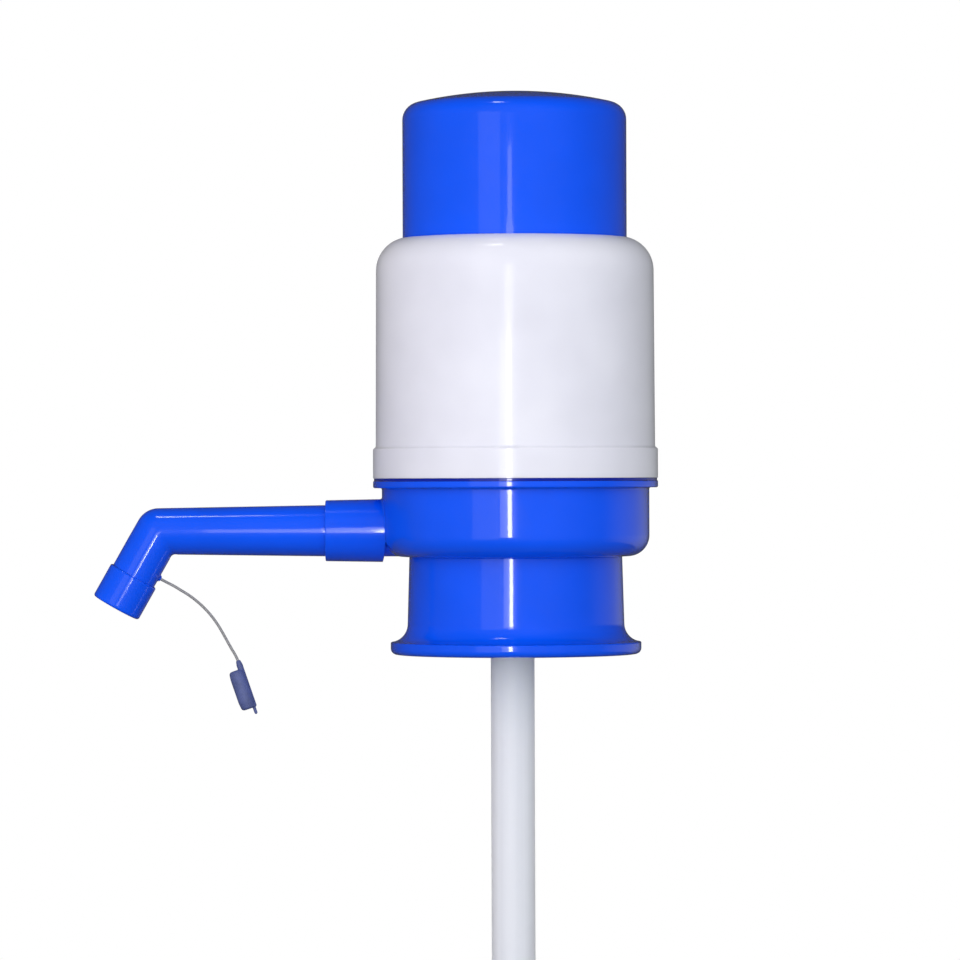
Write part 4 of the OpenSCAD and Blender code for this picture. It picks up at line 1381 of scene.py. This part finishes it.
def elbow_rings(radius_at, start_x, end_s, sides=FINE_SEGMENTS, bend_steps=16):
    """Rings of the bent pipe from the socket to the leg's end.

    The outside of the bend is a ball and the inside a small fillet. radius_at gives the radius
    at a distance along the pipe.
    """
    z = sizes()
    centre = Vector((-z.elbow_reach, 0, spout_height()))
    bend = math.pi / 2 - z.leg_tilt
    half = bend / 2
    bisector = Vector((-math.sin(half), 0, math.cos(half)))
    back, ahead = Vector((1, 0, 0)), Vector((-math.cos(bend), 0, -math.sin(bend)))

    def up(turn):
        return Vector((-math.sin(turn), 0, math.cos(turn)))

    def side(k):
        return 2 * math.pi * k / sides

    rings = []
    for x in start_x:
        middle, r = centre + back * (z.elbow_reach - x), radius_at(x)
        rings.append([middle + r * (math.cos(side(k)) * up(0) + Vector((0, math.sin(side(k)), 0)))
                      for k in range(sides)])
    r = radius_at(z.elbow_reach)
    for i in range(bend_steps + 1):
        turn = bend * i / bend_steps
        ring = []
        for k in range(sides):
            h = r * math.cos(side(k))
            bow = (h + z.inner_bend + math.hypot(h - z.inner_bend, 0.6 * MM)) / 2
            ring.append(centre + (h - bow) / math.cos(half) * bisector + bow * up(turn)
                        + Vector((0, r * math.sin(side(k)), 0)))
        rings.append(ring)
    for s in end_s:
        middle, r = centre + ahead * s, radius_at(z.elbow_reach + s)
        rings.append([middle + r * (math.cos(side(k)) * up(bend)
                                    + Vector((0, math.sin(side(k)), 0))) for k in range(sides)])
    return rings


def skinned(name, loops):
    """A closed shell from rings of equal size, the last joined to the first."""
    sides = len(loops[0])
    points = [p for loop in loops for p in loop]
    faces = []
    for i in range(len(loops)):
        j = (i + 1) % len(loops)
        faces += [[i * sides + k, i * sides + (k + 1) % sides, j * sides + (k + 1) % sides,
                   j * sides + k] for k in range(sides)]
    return mesh_object(name, points, faces)


class PUMP_OT_spout(Operator):
    """Makes the spout pipe with its elbow, the nozzle and the tether's lug."""

    bl_idname = "pump.spout"
    bl_label = "Spout"

    def execute(self, context):
        pipe = joined("spout", [self.pipe(), self.lug()])
        dress(pipe, "blue_plastic", "spout", "spout_pipe")
        self.nozzle()
        return {"FINISHED"}

    def pipe(self):
        z = sizes()
        start = -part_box("spout_pipe")[1].x
        straight = -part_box("base_cup")[0].x + MM
        leg_end = z.leg_length - z.nozzle_mouth
        o_low, o_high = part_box("spout_o_ring")
        groove = -(o_low.x + o_high.x) / 2
        half, depth, wall = 0.7 * MM, 1.15 * MM, 0.02 * MM
        round_end, round_step = 0.4 * MM, 0.15 * MM

        def outer(x):
            """Straight in the socket, tapered to the elbow, then the leg."""
            share = min(1.0, max(0.0, (x - straight) / (z.elbow_reach - straight)))
            base = z.pipe_radius + (z.pipe_tip_radius - z.pipe_radius) * share
            return base + (z.leg_radius - z.pipe_tip_radius) * (x > z.elbow_reach)

        dips = {start: round_end, start + round_step: 0.12 * MM, groove - half + wall: depth,
                groove + half - wall: depth}

        def with_groove(x):
            return outer(x) - dips.get(x, 0.0)

        places = [start, start + round_step, start + round_end, groove - half - HOLD,
                  groove - half, groove - half + wall, groove + half - wall, groove + half,
                  groove + half + HOLD, straight - HOLD, straight, straight + HOLD]
        bend_end = 5.5 * MM
        reach = z.elbow_reach - bend_end
        places += [straight + (reach - straight) * i / 10 for i in range(1, 11)]
        legs = [bend_end, 9 * MM, 14 * MM, leg_end - 0.5 * MM, leg_end]
        skin = elbow_rings(with_groove, places, legs)
        lining = elbow_rings(lambda x: z.pipe_bore, [start, reach], [bend_end, leg_end])
        return skinned("pipe", skin + lining[::-1])

    def lug(self):
        """Round nub under the leg that the line is moulded into."""
        z = sizes()
        place = along_leg(z.lug_place) @ Matrix.Rotation(-math.pi / 2, 4, "Y")
        top = z.leg_radius + 0.6 * MM
        return turned("lug", [(0, 5.6 * MM), (1.3 * MM, 5.6 * MM),
                              (1.2 * MM, z.leg_radius - 0.1 * MM),
                              (0.85 * MM, z.leg_radius + 0.25 * MM), (0.75 * MM, top, 0.35 * MM),
                              (0, top)], place, 40)

    def nozzle(self):
        z = sizes()
        start = z.leg_length - z.nozzle_length
        floor = z.leg_length - z.nozzle_mouth + 0.1 * MM
        bore = z.leg_radius + z.fit_gap
        corners = [(bore, start, 0.15 * MM), (z.nozzle_radius, start, 0.45 * MM),
                   (z.nozzle_radius, z.leg_length, 0.7 * MM),
                   (z.nozzle_bore, z.leg_length, 0.5 * MM), (z.nozzle_bore, floor, 0.15 * MM),
                   (bore, floor, 0.1 * MM)]
        ring = turned("nozzle", corners, along_leg(0), FINE_SEGMENTS)
        dress(ring, "blue_plastic", "spout", "spout_nozzle")


# ---------------------------------------------------------------- panel and registration

OPERATORS = (PUMP_OT_stage, PUMP_OT_tether, PUMP_OT_press_cap, PUMP_OT_outer_sleeve,
             PUMP_OT_bellows, PUMP_OT_valves, PUMP_OT_base_cup, PUMP_OT_neck,
             PUMP_OT_suction_tube, PUMP_OT_spout)


class PUMP_PT_panel(Panel):
    """Lists the pump's settings and the operators that build it."""

    bl_idname = "PUMP_PT_panel"
    bl_label = "Hand Pump"
    bl_space_type = "VIEW_3D"
    bl_region_type = "UI"
    bl_category = "Hand Pump"

    def draw(self, context):
        layout = self.layout
        for operator in OPERATORS:
            layout.operator(operator.bl_idname)
        for group in ("pump_colours", "pump_stage", "pump_sizes"):
            box = layout.box()
            settings = getattr(context.scene, group)
            for name in settings.__annotations__:
                box.prop(settings, name)


CLASSES = (PumpSizes, PumpColours, StageSettings) + OPERATORS + (PUMP_PT_panel,)


def register():
    for kind in CLASSES:
        bpy.utils.register_class(kind)
    bpy.types.Scene.pump_sizes = PointerProperty(type=PumpSizes)
    bpy.types.Scene.pump_colours = PointerProperty(type=PumpColours)
    bpy.types.Scene.pump_stage = PointerProperty(type=StageSettings)


def unregister():
    del bpy.types.Scene.pump_stage
    del bpy.types.Scene.pump_colours
    del bpy.types.Scene.pump_sizes
    for kind in reversed(CLASSES):
        bpy.utils.unregister_class(kind)


def main():
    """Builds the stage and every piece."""
    register()
    bpy.ops.pump.stage()
    bpy.ops.pump.tether()
    bpy.ops.pump.press_cap()
    bpy.ops.pump.outer_sleeve()
    bpy.ops.pump.bellows()
    bpy.ops.pump.valves()
    bpy.ops.pump.base_cup()
    bpy.ops.pump.neck()
    bpy.ops.pump.suction_tube()
    bpy.ops.pump.spout()


if __name__ == "__main__":
    main()
